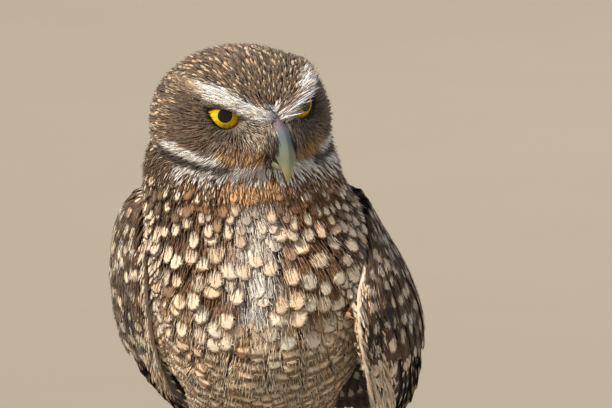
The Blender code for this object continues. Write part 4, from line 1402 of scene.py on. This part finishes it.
def together(groups):
    """Several groups of tufts as one."""
    first = groups[0]
    whole = Tufts(
        np.concatenate([g.line for g in groups]),
        np.concatenate([g.ups for g in groups]),
        np.concatenate([g.half_width for g in groups]),
        first.camber,
        first.thick,
        np.concatenate([g.roll for g in groups]),
    )
    whole.marks = {k: np.concatenate([g.marks[k] for g in groups]) for k in first.marks}
    return whole


def barbs_on(tufts, number, seed):
    """Loose barbs that lie on the outer halves of feathers, in their colours."""
    draw = np.random.default_rng(seed)
    count, stations = tufts.line.shape[:2]
    which = np.repeat(np.arange(count), number)
    start = (0.35 + 0.5 * draw.random(len(which))) * (stations - 1)
    reach = (2.6 + 2.4 * draw.random(len(which))) / tufts.lengths()[which] * (stations - 1)
    end = np.minimum(start + reach, stations - 1)
    station = start[:, None] + (end - start)[:, None] * np.linspace(0, 1, 4)
    low = np.minimum(station.astype(int), stations - 2)
    share = (station - low)[..., None]
    line = tufts.line[which[:, None], low] * (1 - share) + tufts.line[which[:, None], low + 1] * share
    ups = tufts.ups[which[:, None], low]
    sides = unit(np.cross(np.gradient(line, axis=1), ups))
    lean = tufts.roll[which][:, None, None]
    sides = sides * np.cos(lean) + ups * np.sin(lean)
    aside = (2 * draw.random(len(which)) - 1)[:, None] * tufts.half_width[which][:, None] * 0.95
    splay = aside * (0.85 + 0.25 * np.linspace(0, 1, 4))
    fall = tufts.camber * aside**2 / tufts.half_width[which][:, None]
    stand = 0.25 + 0.45 * np.linspace(0, 1, 4) ** 2 * draw.random((len(which), 1)) - fall
    line = line + sides * splay[..., None] + ups * stand[..., None]
    locks = Tufts(line, ups, 0.16 + 0.1 * draw.random(len(which)), camber=0.0, thick=0.1)
    return matched(locks, tufts, draw, 0.12), which


for wing in WINGS:
    draw = np.random.default_rng(70 + wing.side)
    groups, roots = zip(*[wing_tier(wing, tier, draw) for tier in WING_TIERS])
    flight = [k for k, tier in enumerate(WING_TIERS) if tier[0] in ("primary", "secondary", "alula")]
    coverts = [k for k in range(len(WING_TIERS)) if k not in flight]
    for label, chosen in (("flight", flight), ("coverts", coverts)):
        tufts = together([groups[k] for k in chosen])
        on_map = np.concatenate([roots[k] for k in chosen]) * [0.9, 0.9] + 0.05
        coat_piece(f"wing_{label}_{wing.word}", tufts, "flight", on_map, 80 + wing.side)
        barbs, which = barbs_on(tufts, 24, 84 + wing.side)
        coat_piece(f"barbs_{label}_{wing.word}", barbs, "lock", on_map[which], 86)


# %% Shoulders


def shoulder_spacing(middles):
    """A band round the shoulder and down the front edge of each wing, where the tiers leave off."""
    spacing = np.zeros(len(middles))
    for wing in WINGS:
        front = wing.place(np.linspace(0, 0.5, 60), 0.0)
        top = wing.place(0.0, np.linspace(0, 1, 40))
        away = np.linalg.norm(middles[:, None] - np.concatenate([front, top])[None], axis=2).min(axis=1)
        spacing[away < 7.5] = 2.1
    return spacing


shoulders = grow(coat_guide, shoulder_spacing, 111, 8.5, 1.9, 1.6, 0.5)
shoulders = mark_tufts(shoulders, 112)
shoulders.marks["ground"] *= 1.3
coat_piece("coat_shoulders", shoulders, "small", body_map, 113)

# %% Pale front edge of each wing
# For each wing: how many feathers, from where along it, how far, how broad, and how pale.
PALE_EDGE = {"right": (260, 0.10, 0.50, 0.075, 0.35), "left": (420, 0.13, 0.62, 0.11, 0.62)}


def edge_row(wing, draw):
    """Small pale feathers along the front edge, from the bend of the wing down."""
    count, start, reach, broad, pale = PALE_EDGE[wing.word]
    root = np.column_stack([start + reach * draw.random(count), broad * draw.random(count)])
    tip = root + np.column_stack([0.05 + 0.035 * draw.random(count), 0.012 * draw.standard_normal(count)])
    line, ups = wing.laid(root, tip, np.linspace(0.2, 2.2, 9) * (0.6 + 0.6 * draw.random((count, 1))))
    tufts = Tufts(line, ups, 0.5 + 0.35 * draw.random(count), camber=0.2, thick=0.2)
    colour = blended(WARM_BROWN, (pale + 0.6 * draw.random(count), CREAM))
    tufts.marks = plain_marks(varied(colour, draw))
    return tufts, root


for wing in WINGS:
    draw = np.random.default_rng(90 + wing.side)
    tufts, root = edge_row(wing, draw)
    coat_piece(f"wing_edge_{wing.word}", tufts, "small", root + 0.3, 92 + wing.side)

# %% [markdown]
# ## Tail
# Twelve tail feathers make a narrow fan under the wing tips, the middle pair on top. Pale bands cross
# them, and shorter feathers cover their roots above and below.

# %% Tail feathers
TAIL_RUN = unit(TAIL_TIP - TAIL_ROOT)
TAIL_UP = unit(np.cross([1.0, 0, 0], TAIL_RUN))
TAIL_PAIRS, TAIL_ROOT_HALF, TAIL_TIP_HALF, RECTRIX_LAYER = 6, 5.5, 14.0, 0.62


def rectrices(draw):
    lines = []
    s = np.linspace(0, 1, 9)[:, None]
    for pair in range(TAIL_PAIRS):
        share = (pair + 0.5) / TAIL_PAIRS
        for side, _ in SIDES:
            layer = RECTRIX_LAYER * (TAIL_PAIRS / 2 - pair - 0.25 + 0.25 * side)
            root = TAIL_ROOT + [side * TAIL_ROOT_HALF * share, 0, 0] + TAIL_UP * layer
            tip = TAIL_TIP + [side * TAIL_TIP_HALF * share, 0, 0] + TAIL_UP * layer
            tip = tip - TAIL_RUN * (5.0 * share**2)
            lines.append(root + (tip - root) * s)
    line = np.array(lines)
    count = len(line)
    tufts = Tufts(line, np.broadcast_to(TAIL_UP, line.shape), 5.3, camber=0.10, thick=0.4)
    one = np.ones(count)
    tufts.marks = {
        "at": np.column_stack([0.93 * one, 0 * one, 6 * one]),
        "size": np.column_stack([0.022 * one, 0.9 * one, 0.9 * one]),
        "ground": varied(np.broadcast_to(DARK_UMBER, (count, 3)), draw),
        "mark": varied(np.broadcast_to(BUFF, (count, 3)), draw, 0.05),
    }
    return tufts


def tail_coverts(draw, side, rows):
    """Rows of short feathers over (side 1) or under (side -1) the roots of the tail."""
    lines, widths = [], []
    s = np.linspace(0, 1, 9)[:, None]
    for start, reach, number, spread in rows:
        for across in np.linspace(-1, 1, number):
            root = TAIL_ROOT + (TAIL_TIP - TAIL_ROOT) * start + [across * spread, 0, 0]
            root = root + TAIL_UP * side * (4.5 - 4.0 * start - 1.5 * across**2)
            tip = TAIL_ROOT + (TAIL_TIP - TAIL_ROOT) * (start + reach) + [across * spread * 1.15, 0, 0]
            tip = tip + TAIL_UP * side * (3.4 - 2.2 * (start + reach) - across**2)
            lines.append(root + (tip - root) * s + TAIL_UP * side * 0.6 * np.sin(np.pi * s))
            widths.append(4.2)
    line = np.array(lines)
    count = len(line)
    tufts = Tufts(line, np.broadcast_to(TAIL_UP * side, line.shape), np.array(widths), thick=0.3)
    one = np.ones(count)
    colour = UMBER if side > 0 else CREAM
    tufts.marks = {
        "at": np.column_stack([0.85 * one, 0 * one, one]),
        "size": np.column_stack([0.1 * one, 0.5 * one, (0.8 if side > 0 else 0.0) * one]),
        "ground": varied(np.broadcast_to(colour, (count, 3)), draw),
        "mark": varied(np.broadcast_to(BUFF, (count, 3)), draw, 0.05),
    }
    return tufts


draw = np.random.default_rng(100)
cover_rows = ((-0.10, 0.35, 6, 7.5), (0.02, 0.38, 7, 7.0), (0.14, 0.38, 6, 6.0))
under_rows = ((-0.12, 0.42, 6, 7.5), (0.02, 0.46, 6, 6.5), (0.16, 0.5, 5, 5.5))
tail = together([rectrices(draw), tail_coverts(draw, 1, cover_rows), tail_coverts(draw, -1, under_rows)])
tail_at = tail.line[:, 0]
tail_map = np.column_stack([tail_at[:, 0] / 60 + 0.5, (tail_at[:, 2] - 10) / 80])
coat_piece("tail_feathers", tail, "flight", tail_map, 101)

# %% [markdown]
# ## Eyes and lids
# Each eye is a wet ball with a clear bulge over the iris. Its lids lie on it like two thin sleeves:
# the upper one runs nearly straight down toward the bill, and the lower one is round with a dark rim.

# %% Eyeballs
PUPIL_RADIUS, CORNEA, GAZE_UP = 2.75, 0.35, 0.9


def sphere_grid(rows, around):
    """Directions on a ball, pole first, with its triangles."""
    polar = np.pi * np.arange(rows + 1) / rows
    angle = 2 * np.pi * np.arange(around) / around
    p, a = np.meshgrid(polar, angle, indexing="ij")
    points = np.stack([np.sin(p) * np.cos(a), np.sin(p) * np.sin(a), np.cos(p)], axis=-1)
    return tube(points)


def eye_paint():
    paint = Paint("eye", Roughness=0.04, Specular_IOR_Level=0.42)
    x, y, _ = paint.parts(paint.read("eye_at", out="Vector"))
    y = y - GAZE_UP
    radius = (x * x + y * y) ** 0.5
    fibres = paint.noise(paint.vector(x / radius * 3.2, y / radius * 3.2, radius * 0.35), 1.6, 3.0)
    iris = paint.mix(srgb(206, 150, 8), srgb(255, 222, 20), fibres.rise(0.3, 0.7))
    iris = paint.mix(iris, srgb(228, 148, 6), (radius + (fibres - 0.5) * 1.2).rise(4.6, 6.0))
    iris = paint.mix(iris, srgb(246, 200, 10), radius.rise(4.0, 3.0) * 0.6)
    iris = paint.mix(iris, srgb(38, 26, 12), (radius + (fibres - 0.5) * 0.5).rise(5.9, 6.4))
    colour = paint.mix(iris, BLACKISH * 0.35, radius.rise(PUPIL_RADIUS + 0.12, PUPIL_RADIUS - 0.12))
    return paint.cover(Base_Color=colour)


eye_material = eye_paint()
ball_points, ball_faces = sphere_grid(72, 96)
ball_points = ball_points[:, [0, 2, 1]]
for side, word in SIDES:
    middle, to_bill, outward, up = eye_frame(side)
    axes = np.array([to_bill, up, outward])
    reach = np.hypot(ball_points[:, 0], ball_points[:, 1]) * EYE_RADIUS
    bulge = CORNEA * np.clip(1 - (reach / 6.4) ** 2, 0, 1) ** 1.5 * (ball_points[:, 2] > 0)
    local = ball_points * (EYE_RADIUS + bulge)[:, None]
    places = from_head(middle + local @ axes)
    eye = put_mesh(f"eyeball_{word}", places, face_out(places, ball_faces), eye_material, {"eye_at": local})
    hand_in(eye, [f"eye_{word}"])

# %% Lids
# Each row: how far outside the opening, and how far from the eye's middle, upper lid then lower.
SLEEVES = (
    ((0.0, 7.7), (0.0, 7.7)),
    ((-0.1, 8.45), (-0.1, 8.2)),
    ((0.05, 8.85), (0.1, 8.5)),
    ((0.45, 8.95), (0.4, 8.6)),
    ((1.1, 8.7), (0.9, 8.5)),
    ((2.4, 8.4), (2.2, 8.3)),
    ((4.0, 8.2), (4.0, 8.1)),
    ((5.4, 7.6), (5.4, 7.4)),
)


def lid_paint():
    paint = Paint("lid", Roughness=0.42, Specular_IOR_Level=0.4)
    x, y, rim = paint.parts(paint.read("lid_at", out="Vector"))
    crumple = paint.noise(paint.vector(x, y, rim), 2.2, 3.0)
    skin_tone = paint.mix(srgb(74, 58, 54), srgb(46, 34, 34), crumple)
    colour = paint.mix(srgb(20, 14, 18), skin_tone, (rim + (crumple - 0.5) * 0.6).rise(0.5, 1.3))
    return paint.cover(Base_Color=colour, Normal=paint.bump(crumple, 0.4, 0.0002))


def lid_band():
    """Both lids as one closed band round the opening: places on an eye, triangles, and how far each
    place lies from the rim."""
    outline = lid_outline(88)
    count = len(outline)
    off = lid_normals(outline)
    share = np.arange(count) / count * 2
    upper = np.where(share < 1, np.sin(np.pi * share), 0.0) ** 0.5
    rings, rims = [], []
    for (out_a, r_a), (out_b, r_b) in SLEEVES:
        distance = out_b + (out_a - out_b) * upper
        radius = r_b + (r_a - r_b) * upper
        flat = outline + off * distance[:, None]
        flat = flat * np.minimum(1, radius * 0.97 / np.linalg.norm(flat, axis=1))[:, None]
        deep = np.sqrt(np.maximum(radius**2 - np.sum(flat**2, axis=1), 0.3))
        rings.append(np.column_stack([flat, deep]))
        rims.append(distance)
    inner = [ring * 0.9 for ring in rings[:0:-1]]
    local = np.array(rings + inner).transpose(1, 0, 2)
    around, deepness = local.shape[:2]
    a = np.arange(around * deepness).reshape(around, deepness)
    b = np.roll(a, -1, axis=1)
    c, d = np.roll(a, -1, axis=0), np.roll(b, -1, axis=0)
    faces = np.concatenate([np.stack(corners, -1).reshape(-1, 3) for corners in ([a, b, d], [a, d, c])])
    return local.reshape(-1, 3), faces, np.array(rims + rims[:0:-1]).T.reshape(-1, 1)


lid_material = lid_paint()
for side, word in SIDES:
    middle, to_bill, outward, up = eye_frame(side)
    local, faces, rim = lid_band()
    places = from_head(middle + local @ np.array([to_bill, up, outward]))
    at = np.column_stack([local[:, :2], rim])
    lid = put_mesh(f"lids_{word}", places, face_out(places, faces), lid_material, {"lid_at": at})
    hand_in(lid)

# %% Feathers on the lids


def lashes(side, count, seed):
    """Short feathers that start on the lids and lead up to those of the face."""
    draw = np.random.default_rng(seed)
    middle, to_bill, outward, up = eye_frame(side)
    axes = np.array([to_bill, up, outward])
    outline = lid_outline(400)
    which = draw.integers(0, 400, count)
    off = lid_normals(outline)[which]
    start = outline[which] + off * (0.45 + 1.3 * draw.random((count, 1)))
    end = start + off * (2.4 + 1.4 * draw.random((count, 1))) + 0.3 * draw.standard_normal((count, 2))
    deep = np.sqrt(np.maximum(8.75**2 - np.sum(start**2, axis=1), 4.0))
    root = from_head(middle + np.column_stack([start, deep]) @ axes)
    spot, normal = guide.nearest(from_head(middle + np.column_stack([end, deep + 2.5]) @ axes))
    tip = spot + normal * (0.3 + 0.5 * draw.random((count, 1)))
    share = np.linspace(0, 1, 4)[None, :, None]
    line = root[:, None] + (tip - root)[:, None] * share + normal[:, None] * (0.8 * share * (1 - share))
    ups = np.repeat(unit(normal + (root - from_head(middle)) * 0.1)[:, None], 4, axis=1)
    tufts = Tufts(line, ups, 0.2 + 0.12 * draw.random(count), camber=0.0, thick=0.12)
    tufts = mark_tufts(tufts, seed + 1)
    tufts.marks["ground"] *= (0.45 + 0.6 * draw.random(count))[:, None]
    return tufts


for side, word in SIDES:
    tufts = lashes(side, 520, 120 + side)
    coat_piece(f"lid_feathers_{word}", tufts, "lock", head_map, 123)

# %% [markdown]
# ## Bill
# The upper half hooks down over the lower one. It is bluish grey at its root, greenish along the
# ridge and yellowish at the tip, and a soft lumpy skin with the nostrils lies over its root.

# %% Bill halves
UPPER_BILL = (
    (27.0, 10.0, 27.0, -2.5, 5.4),
    (31.5, 10.2, 30.0, -3.0, 5.4),
    (35.2, 8.6, 32.5, -3.6, 5.0),
    (38.4, 5.6, 35.0, -4.2, 4.6),
    (40.8, 1.4, 37.4, -5.0, 4.0),
    (42.1, -3.2, 39.4, -6.3, 3.0),
    (42.3, -7.2, 40.3, -8.6, 1.8),
    (41.4, -10.8, 40.6, -11.1, 0.55),
)
LOWER_BILL = (
    (27.0, -2.9, 27.0, -8.5, 4.2),
    (30.0, -3.4, 29.5, -8.6, 4.0),
    (32.5, -4.0, 32.0, -8.6, 3.6),
    (35.0, -4.6, 34.5, -8.6, 3.0),
    (37.4, -5.5, 36.8, -8.4, 2.0),
    (38.6, -6.6, 38.3, -7.8, 0.8),
)
NOSTRIL_AT = np.array([2.5, -33.8, 5.0])


def bill_half(table, sharp, rings=64, around=48):
    """Rings from root to tip, in the head's frame. Sharp narrows the top of each ring."""
    t = np.linspace(0, 1, rings)
    rows = read_through(table, t)
    angle = 2 * np.pi * np.arange(around) / around
    height = 0.5 + 0.5 * np.sin(angle)
    narrow = np.where(height > 0.5, (1 - height**4) * (1 - sharp) + sharp, 1.0)
    low = np.stack([0 * t, -rows[:, 2], rows[:, 3]], axis=1)
    top = np.stack([0 * t, -rows[:, 0], rows[:, 1]], axis=1)
    points = low[:, None] + (top - low)[:, None] * height[None, :, None]
    points[..., 0] += rows[:, 4:5] * narrow * np.cos(angle)
    return tube(points)


def bill_paint(name, dark):
    paint = Paint(name, Roughness=0.34, Specular_IOR_Level=0.55, Coat_Weight=0.25, Coat_Roughness=0.2)
    x, ahead, up = paint.parts(paint.read("head_at", out="Vector"))
    grain = paint.noise(paint.vector(x * 0.9, ahead * 0.5, up * 0.25), 1.0, 4.0)
    lumps = paint.noise(paint.vector(x, ahead, up), 0.9, 2.0)
    height = up + (grain - 0.5) * 3.0
    colour = paint.mix(srgb(170, 160, 112), srgb(126, 132, 102), height.rise(-9.5, -2.0))
    colour = paint.mix(colour, srgb(100, 112, 110), height.rise(-1.0, 5.0))
    flank = x.maths("ABSOLUTE").rise(1.4, 4.2)
    colour = paint.mix(colour, srgb(84, 84, 76), flank * 0.6)
    cere = (ahead + up * 0.2 + (lumps - 0.5) * 2.0).rise(38.6, 36.6) * up.rise(1.0, 4.0)
    colour = paint.mix(colour, srgb(112, 95, 101), cere)
    if dark:
        colour = paint.mix(colour, srgb(78, 70, 60), grain.rise(1.0, 0.2) * 0.3 + dark)
    height_map = grain * 0.4 + lumps * cere * 1.6
    return paint.cover(Base_Color=colour, Normal=paint.bump(height_map, 0.35, 0.0004))


def bill_piece(name, shape, node, dark=0.0):
    points, faces = shape
    at = points * [1.0, -1.0, 1.0]
    places = from_head(points)
    piece = put_mesh(name, places, face_out(places, faces), bill_paint(name, dark), {"head_at": at})
    hand_in(piece, [node])


upper, upper_faces = bill_half(UPPER_BILL, 0.42)
for side, _ in SIDES:
    swell = NOSTRIL_AT * [side, 1, 1]
    near = np.exp(-(np.sum(((upper - swell) / [2.6, 3.2, 2.4]) ** 2, axis=1)))
    upper[:, 0] += side * near * 1.2
    upper[:, 1] -= near * 0.9
    hole = NOSTRIL_AT * [side, 1, 1] + [side * 2.6, -2.4, 0.3]
    near = np.exp(-(np.sum(((upper - hole) / [1.6, 0.95, 0.8]) ** 2, axis=1)))
    upper[:, 0] -= side * near * 1.7
    upper[:, 1] += near * 1.0
bill_piece("bill_top", (upper, upper_faces), "bill_upper")
bill_piece("bill_under", bill_half(LOWER_BILL, 0.85), "bill_lower", 0.3)

# %% [markdown]
# ## Feathers over the bill's root
# Fine feathers and bristles leave the face beside the bill, lie forward over its sides and leave the
# ridge bare. Their tips are dark.

# %% Bristles


def on_bill(table, t, angle, lift):
    """Places on half a bill at a share of its length and an angle from its side up to its ridge."""
    rows = read_through(table, t)
    height = 0.5 + 0.5 * np.sin(angle)
    low = np.stack([0 * t, -rows[..., 2], rows[..., 3]], axis=-1)
    top = np.stack([0 * t, -rows[..., 0], rows[..., 1]], axis=-1)
    place = low + (top - low) * height[..., None]
    place[..., 0] += (rows[..., 4] * (1.0 - 0.35 * height**3) + lift) * np.cos(angle)
    return place + np.stack([0 * t, -lift * 0.5 * height, lift * np.sin(angle)], axis=-1)


def bristles(table, side, count, seed):
    draw = np.random.default_rng(seed)
    share = np.linspace(0, 1, 6)[None]
    start_t = 0.02 + 0.16 * draw.random((count, 1))
    start_angle = np.radians(-60 + 112 * draw.random((count, 1)) ** 0.8)
    reach = 0.18 + 0.28 * draw.random((count, 1))
    drop = np.radians(10 + 20 * draw.random((count, 1)))
    t = start_t + reach * share
    angle = start_angle - drop * share * (start_angle > np.radians(-30))
    stand = 0.35 + 1.0 * share * draw.random((count, 1)) + 0.15 * draw.random((count, 1))
    local = on_bill(table, t, angle, stand)
    local[..., 0] *= side
    line = from_head(local)
    middle = from_head(on_bill(table, t, angle, -3.0) * [side, 1, 1])
    tufts = Tufts(line, unit(line - middle), 0.2 + 0.16 * draw.random(count), camber=0.0, thick=0.14)
    light = draw.random(count)
    ground = varied(blended(GREY_BROWN, (light, CREAM)), draw, 0.12)
    blank = np.zeros((count, 3))
    mark = varied(blended(DARK_UMBER, (0.2 * light, GREY_BROWN)), draw)
    at, size = blank + [1.0, 0, 1.0], blank + [0.34, 2.0, 0.9]
    tufts.marks = {"at": at, "size": size, "ground": ground, "mark": mark}
    return tufts


for side, word in SIDES:
    above = bristles(UPPER_BILL, side, 420, 110 + side)
    below = bristles(LOWER_BILL, side, 200, 114 + side)
    coat_piece(f"bristles_{word}", together([above, below]), "lock", head_map, 112)

# %% [markdown]
# ## Legs, feet and claws
# The shank and the toes are bare. Small round scales cover them, with broad plates over the toes.

# %% Legs and feet
# ANKLE is where the feathers end, as a share of the leg's path. Each toe has its name, its angle from
# straight ahead, its length and its radius.
ANKLE, FOOT_VOXEL, SOLE = 0.43, 0.4, 0.05
TOES = (
    ("inner", -20.0, 20.0, 2.9),
    ("middle", 12.0, 23.5, 3.0),
    ("outer", 68.0, 19.0, 2.8),
    ("hind", 178.0, 13.0, 2.7),
)
FOOT_APART, FOOT_Y, TOE_HEIGHT = 19.0, 9.0, 2.4
CLAW_LENGTH, CLAW_RADIUS, CLAW_TIP_RADIUS, CLAW_BEND = 8.0, 1.45, 0.18, math.radians(58.0)


def toe_way(side, degrees):
    a = math.radians(degrees)
    return np.array([side * math.sin(a), -math.cos(a), 0.0])


def bent_tube(middles, radii, around=28, up=(0.02, 0.01, 1.0)):
    """A round tube along middles with one radius each. Up is any direction off its run."""
    runs = unit(np.gradient(middles, axis=0))
    sides = unit(np.cross(runs, up))
    ups = np.cross(sides, runs)
    angle = 2 * np.pi * np.arange(around) / around
    ring = sides[:, None] * np.cos(angle)[None, :, None] + ups[:, None] * np.sin(angle)[None, :, None]
    return tube(middles[:, None] + ring * np.asarray(radii)[:, None, None])


def shank(side):
    """The bare leg, from the feathers' edge down into the foot."""
    t = np.linspace(ANKLE - 0.02, 0.995, 60)
    middles = read_through(np.array(LEG_PATH) * [side, 1, 1], t)
    radii = read_through(np.array(LEG_RADII)[:, None], t)[:, 0]
    return bent_tube(middles, radii, up=(0, 1.0, 0))


def toe(side, degrees, length, radius):
    """A toe with joints that swell and plates across its back."""
    share = np.linspace(0, 1, 90)
    start = np.array([side * FOOT_APART, FOOT_Y, TOE_HEIGHT])
    arch = 1.2 * np.sin(np.pi * share) * (1 - share)
    middles = start + toe_way(side, degrees) * (length * share)[:, None] + np.outer(arch, [0, 0, 1.0])
    swell = 1.0 + 0.09 * np.cos(share * 6 * np.pi)
    plates = 1.0 + 0.035 * np.abs(np.sin(share * length / 1.5 * np.pi)) ** 0.5
    end = np.clip((1 - share) / 0.08, 0.25, 1) ** 0.5
    radii = radius * (1 - 0.28 * share) * swell * plates * end * 0.97
    return bent_tube(middles, radii)


def foot_paint():
    paint = Paint("scales", Roughness=0.62, Specular_IOR_Level=0.35)
    place = paint.node("ShaderNodeTexCoord", out="Object")
    scales = {"Vector": place, "Scale": 900.0}
    edge = paint.node("ShaderNodeTexVoronoi", {"feature": "DISTANCE_TO_EDGE"}, scales)
    tone = paint.noise(place, 260.0, 3.0)
    raised = edge.rise(0.0, 0.16)
    colour = paint.mix(srgb(112, 100, 84), srgb(156, 140, 116), tone.rise(0.3, 0.7))
    colour = paint.mix(srgb(74, 64, 54), colour, raised)
    return paint.cover(Base_Color=colour, Normal=paint.bump(raised, 0.55, 0.0003))


foot_material = foot_paint()
for side, word in SIDES:
    start = np.array([side * FOOT_APART, FOOT_Y, TOE_HEIGHT + 0.3])
    pad, pad_faces = sphere_grid(24, 32)
    shapes = [shank(side), (start + pad * [4.8, 5.2, 2.8], pad_faces)]
    shapes += [toe(side, degrees, length, radius) for _, degrees, length, radius in TOES]
    points, faces = melted(shapes, FOOT_VOXEL, 2)
    points[:, 2] = np.maximum(points[:, 2], SOLE)
    leg = put_mesh(f"leg_{word}", points, faces, foot_material)
    hand_in(leg, [f"tarsus_{word}", f"foot_{word}"])


# %% Claws


def claw_paint():
    paint = Paint("claws", Roughness=0.3, Specular_IOR_Level=0.5, Coat_Weight=0.3)
    place = paint.node("ShaderNodeTexCoord", out="Object")
    grain = paint.noise(place, 700.0, 3.0)
    colour = paint.mix(srgb(38, 33, 30), srgb(70, 60, 52), grain.rise(0.45, 0.75))
    return paint.cover(Base_Color=colour, Normal=paint.bump(grain, 0.25, 0.0002))


def claw(side, degrees, length):
    """A claw in an even bend, its ring thinning to the point."""
    share = np.linspace(0, 1, 26)
    way = toe_way(side, degrees)
    start = np.array([side * FOOT_APART, FOOT_Y, TOE_HEIGHT]) + way * (length - 0.4)
    bend = CLAW_BEND * share
    ahead = CLAW_LENGTH * np.sin(bend) / CLAW_BEND
    drop = CLAW_LENGTH * (1 - np.cos(bend)) / CLAW_BEND * 0.36
    middles = start + np.outer(ahead, way) - np.outer(drop, [0, 0, 1.0]) + [0, 0, 0.2]
    radii = CLAW_RADIUS * 0.96 * (1 - share**1.3) + CLAW_TIP_RADIUS * share
    points, faces = bent_tube(middles, radii, 20)
    points[:, 2] = np.maximum(points[:, 2], SOLE)
    return points, faces


claw_material = claw_paint()
for side, word in SIDES:
    for name, degrees, length, _ in TOES:
        piece = put_mesh(f"claw_{name}_{word}", *claw(side, degrees, length), claw_material)
        hand_in(piece, [f"claw_{word}_{name}"])

# %% [markdown]
# ## Floor, light and camera
# The floor is one pale warm plane that runs far behind the bird. A large warm lamp stands high on the
# left of the picture, as the sun did, a weaker one fills the shade, and the sky gives the rest. The
# camera looks down a little with a long lens, and the picture ends at the tops of the legs.

# %% Floor and light


def floor_paint():
    paint = Paint("floor", Roughness=0.9)
    place = paint.node("ShaderNodeTexCoord", out="Object")
    blotch = paint.noise(place, 9.0, 4.0)
    fine = paint.noise(place, 900.0, 2.0)
    colour = paint.mix(srgb(156, 145, 127), srgb(160, 149, 131), blotch)
    return paint.cover(Base_Color=colour, Normal=paint.bump(fine, 0.1, 0.0002))


corners = np.array([[-9.0, -3.0, 0.0], [9.0, -3.0, 0.0], [9.0, 16.0, 0.0], [-9.0, 16.0, 0.0]]) / MM
corners = (corners - SLIDE) * [1, 1, 0]
floor = put_mesh("floor", corners, np.array([[0, 1, 2], [0, 2, 3]]), floor_paint())
floor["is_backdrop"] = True

SCENE = bpy.context.scene
LAMPS_AT = np.array([0.0, 0.0, 120.0])


def aim(obj, place, target):
    """Puts a lamp or the camera at a place of the bird's frame, turned to another place."""
    place, target = (Vector(((point + SLIDE) * MM).tolist()) for point in (place, target))
    obj.location = place
    obj.rotation_euler = (target - place).to_track_quat("-Z", "Y").to_euler()


def lamp(name, place, size, power, colour, kind="AREA"):
    data = bpy.data.lights.new(name, kind)
    data.energy, data.color = power, colour
    if kind == "SUN":
        data.angle = size
    else:
        data.shape, data.size = "DISK", size
    obj = bpy.data.objects.new(name, data)
    SCENE.collection.objects.link(obj)
    aim(obj, np.array(place), LAMPS_AT)
    obj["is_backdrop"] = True


lamp("key", (-1250.0, -950.0, 1450.0), math.radians(9.0), 4.6, (1.0, 0.93, 0.83), "SUN")
lamp("fill", (1300.0, -1300.0, 700.0), 1.2, 3.0, (0.86, 0.92, 1.0))
lamp("rim", (500.0, 1300.0, 1300.0), 0.9, 7.0, (1.0, 0.97, 0.92))

world = bpy.data.worlds.new("sky")
world.use_nodes = True
sky = world.node_tree.nodes["Background"]
sky.inputs["Color"].default_value = (0.80, 0.86, 1.0, 1.0)
sky.inputs["Strength"].default_value = 0.42
SCENE.world = world
SCENE.view_settings.view_transform = "Standard"

# %% Camera
LOOK_AT = np.array([16.3, -10.0, 145.9])
DISTANCE, DIP = 2518.0, 10.0
lens = bpy.data.cameras.new("camera")
lens.lens, lens.sensor_width = 400.0, 36.0
lens.clip_end = 100.0
camera = bpy.data.objects.new("camera", lens)
SCENE.collection.objects.link(camera)
dip = math.radians(DIP)
towards = np.array([0.0, math.cos(dip), -math.sin(dip)])
aim(camera, LOOK_AT - towards * DISTANCE, LOOK_AT)
SCENE.camera = camera

# %% Size and finish
low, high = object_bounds()
for corner, before, after in (("low", cad_low, low), ("high", cad_high, high)):
    print(corner, [round(1000 * (b - a), 1) for a, b in zip(before, after)], "mm from the solids")
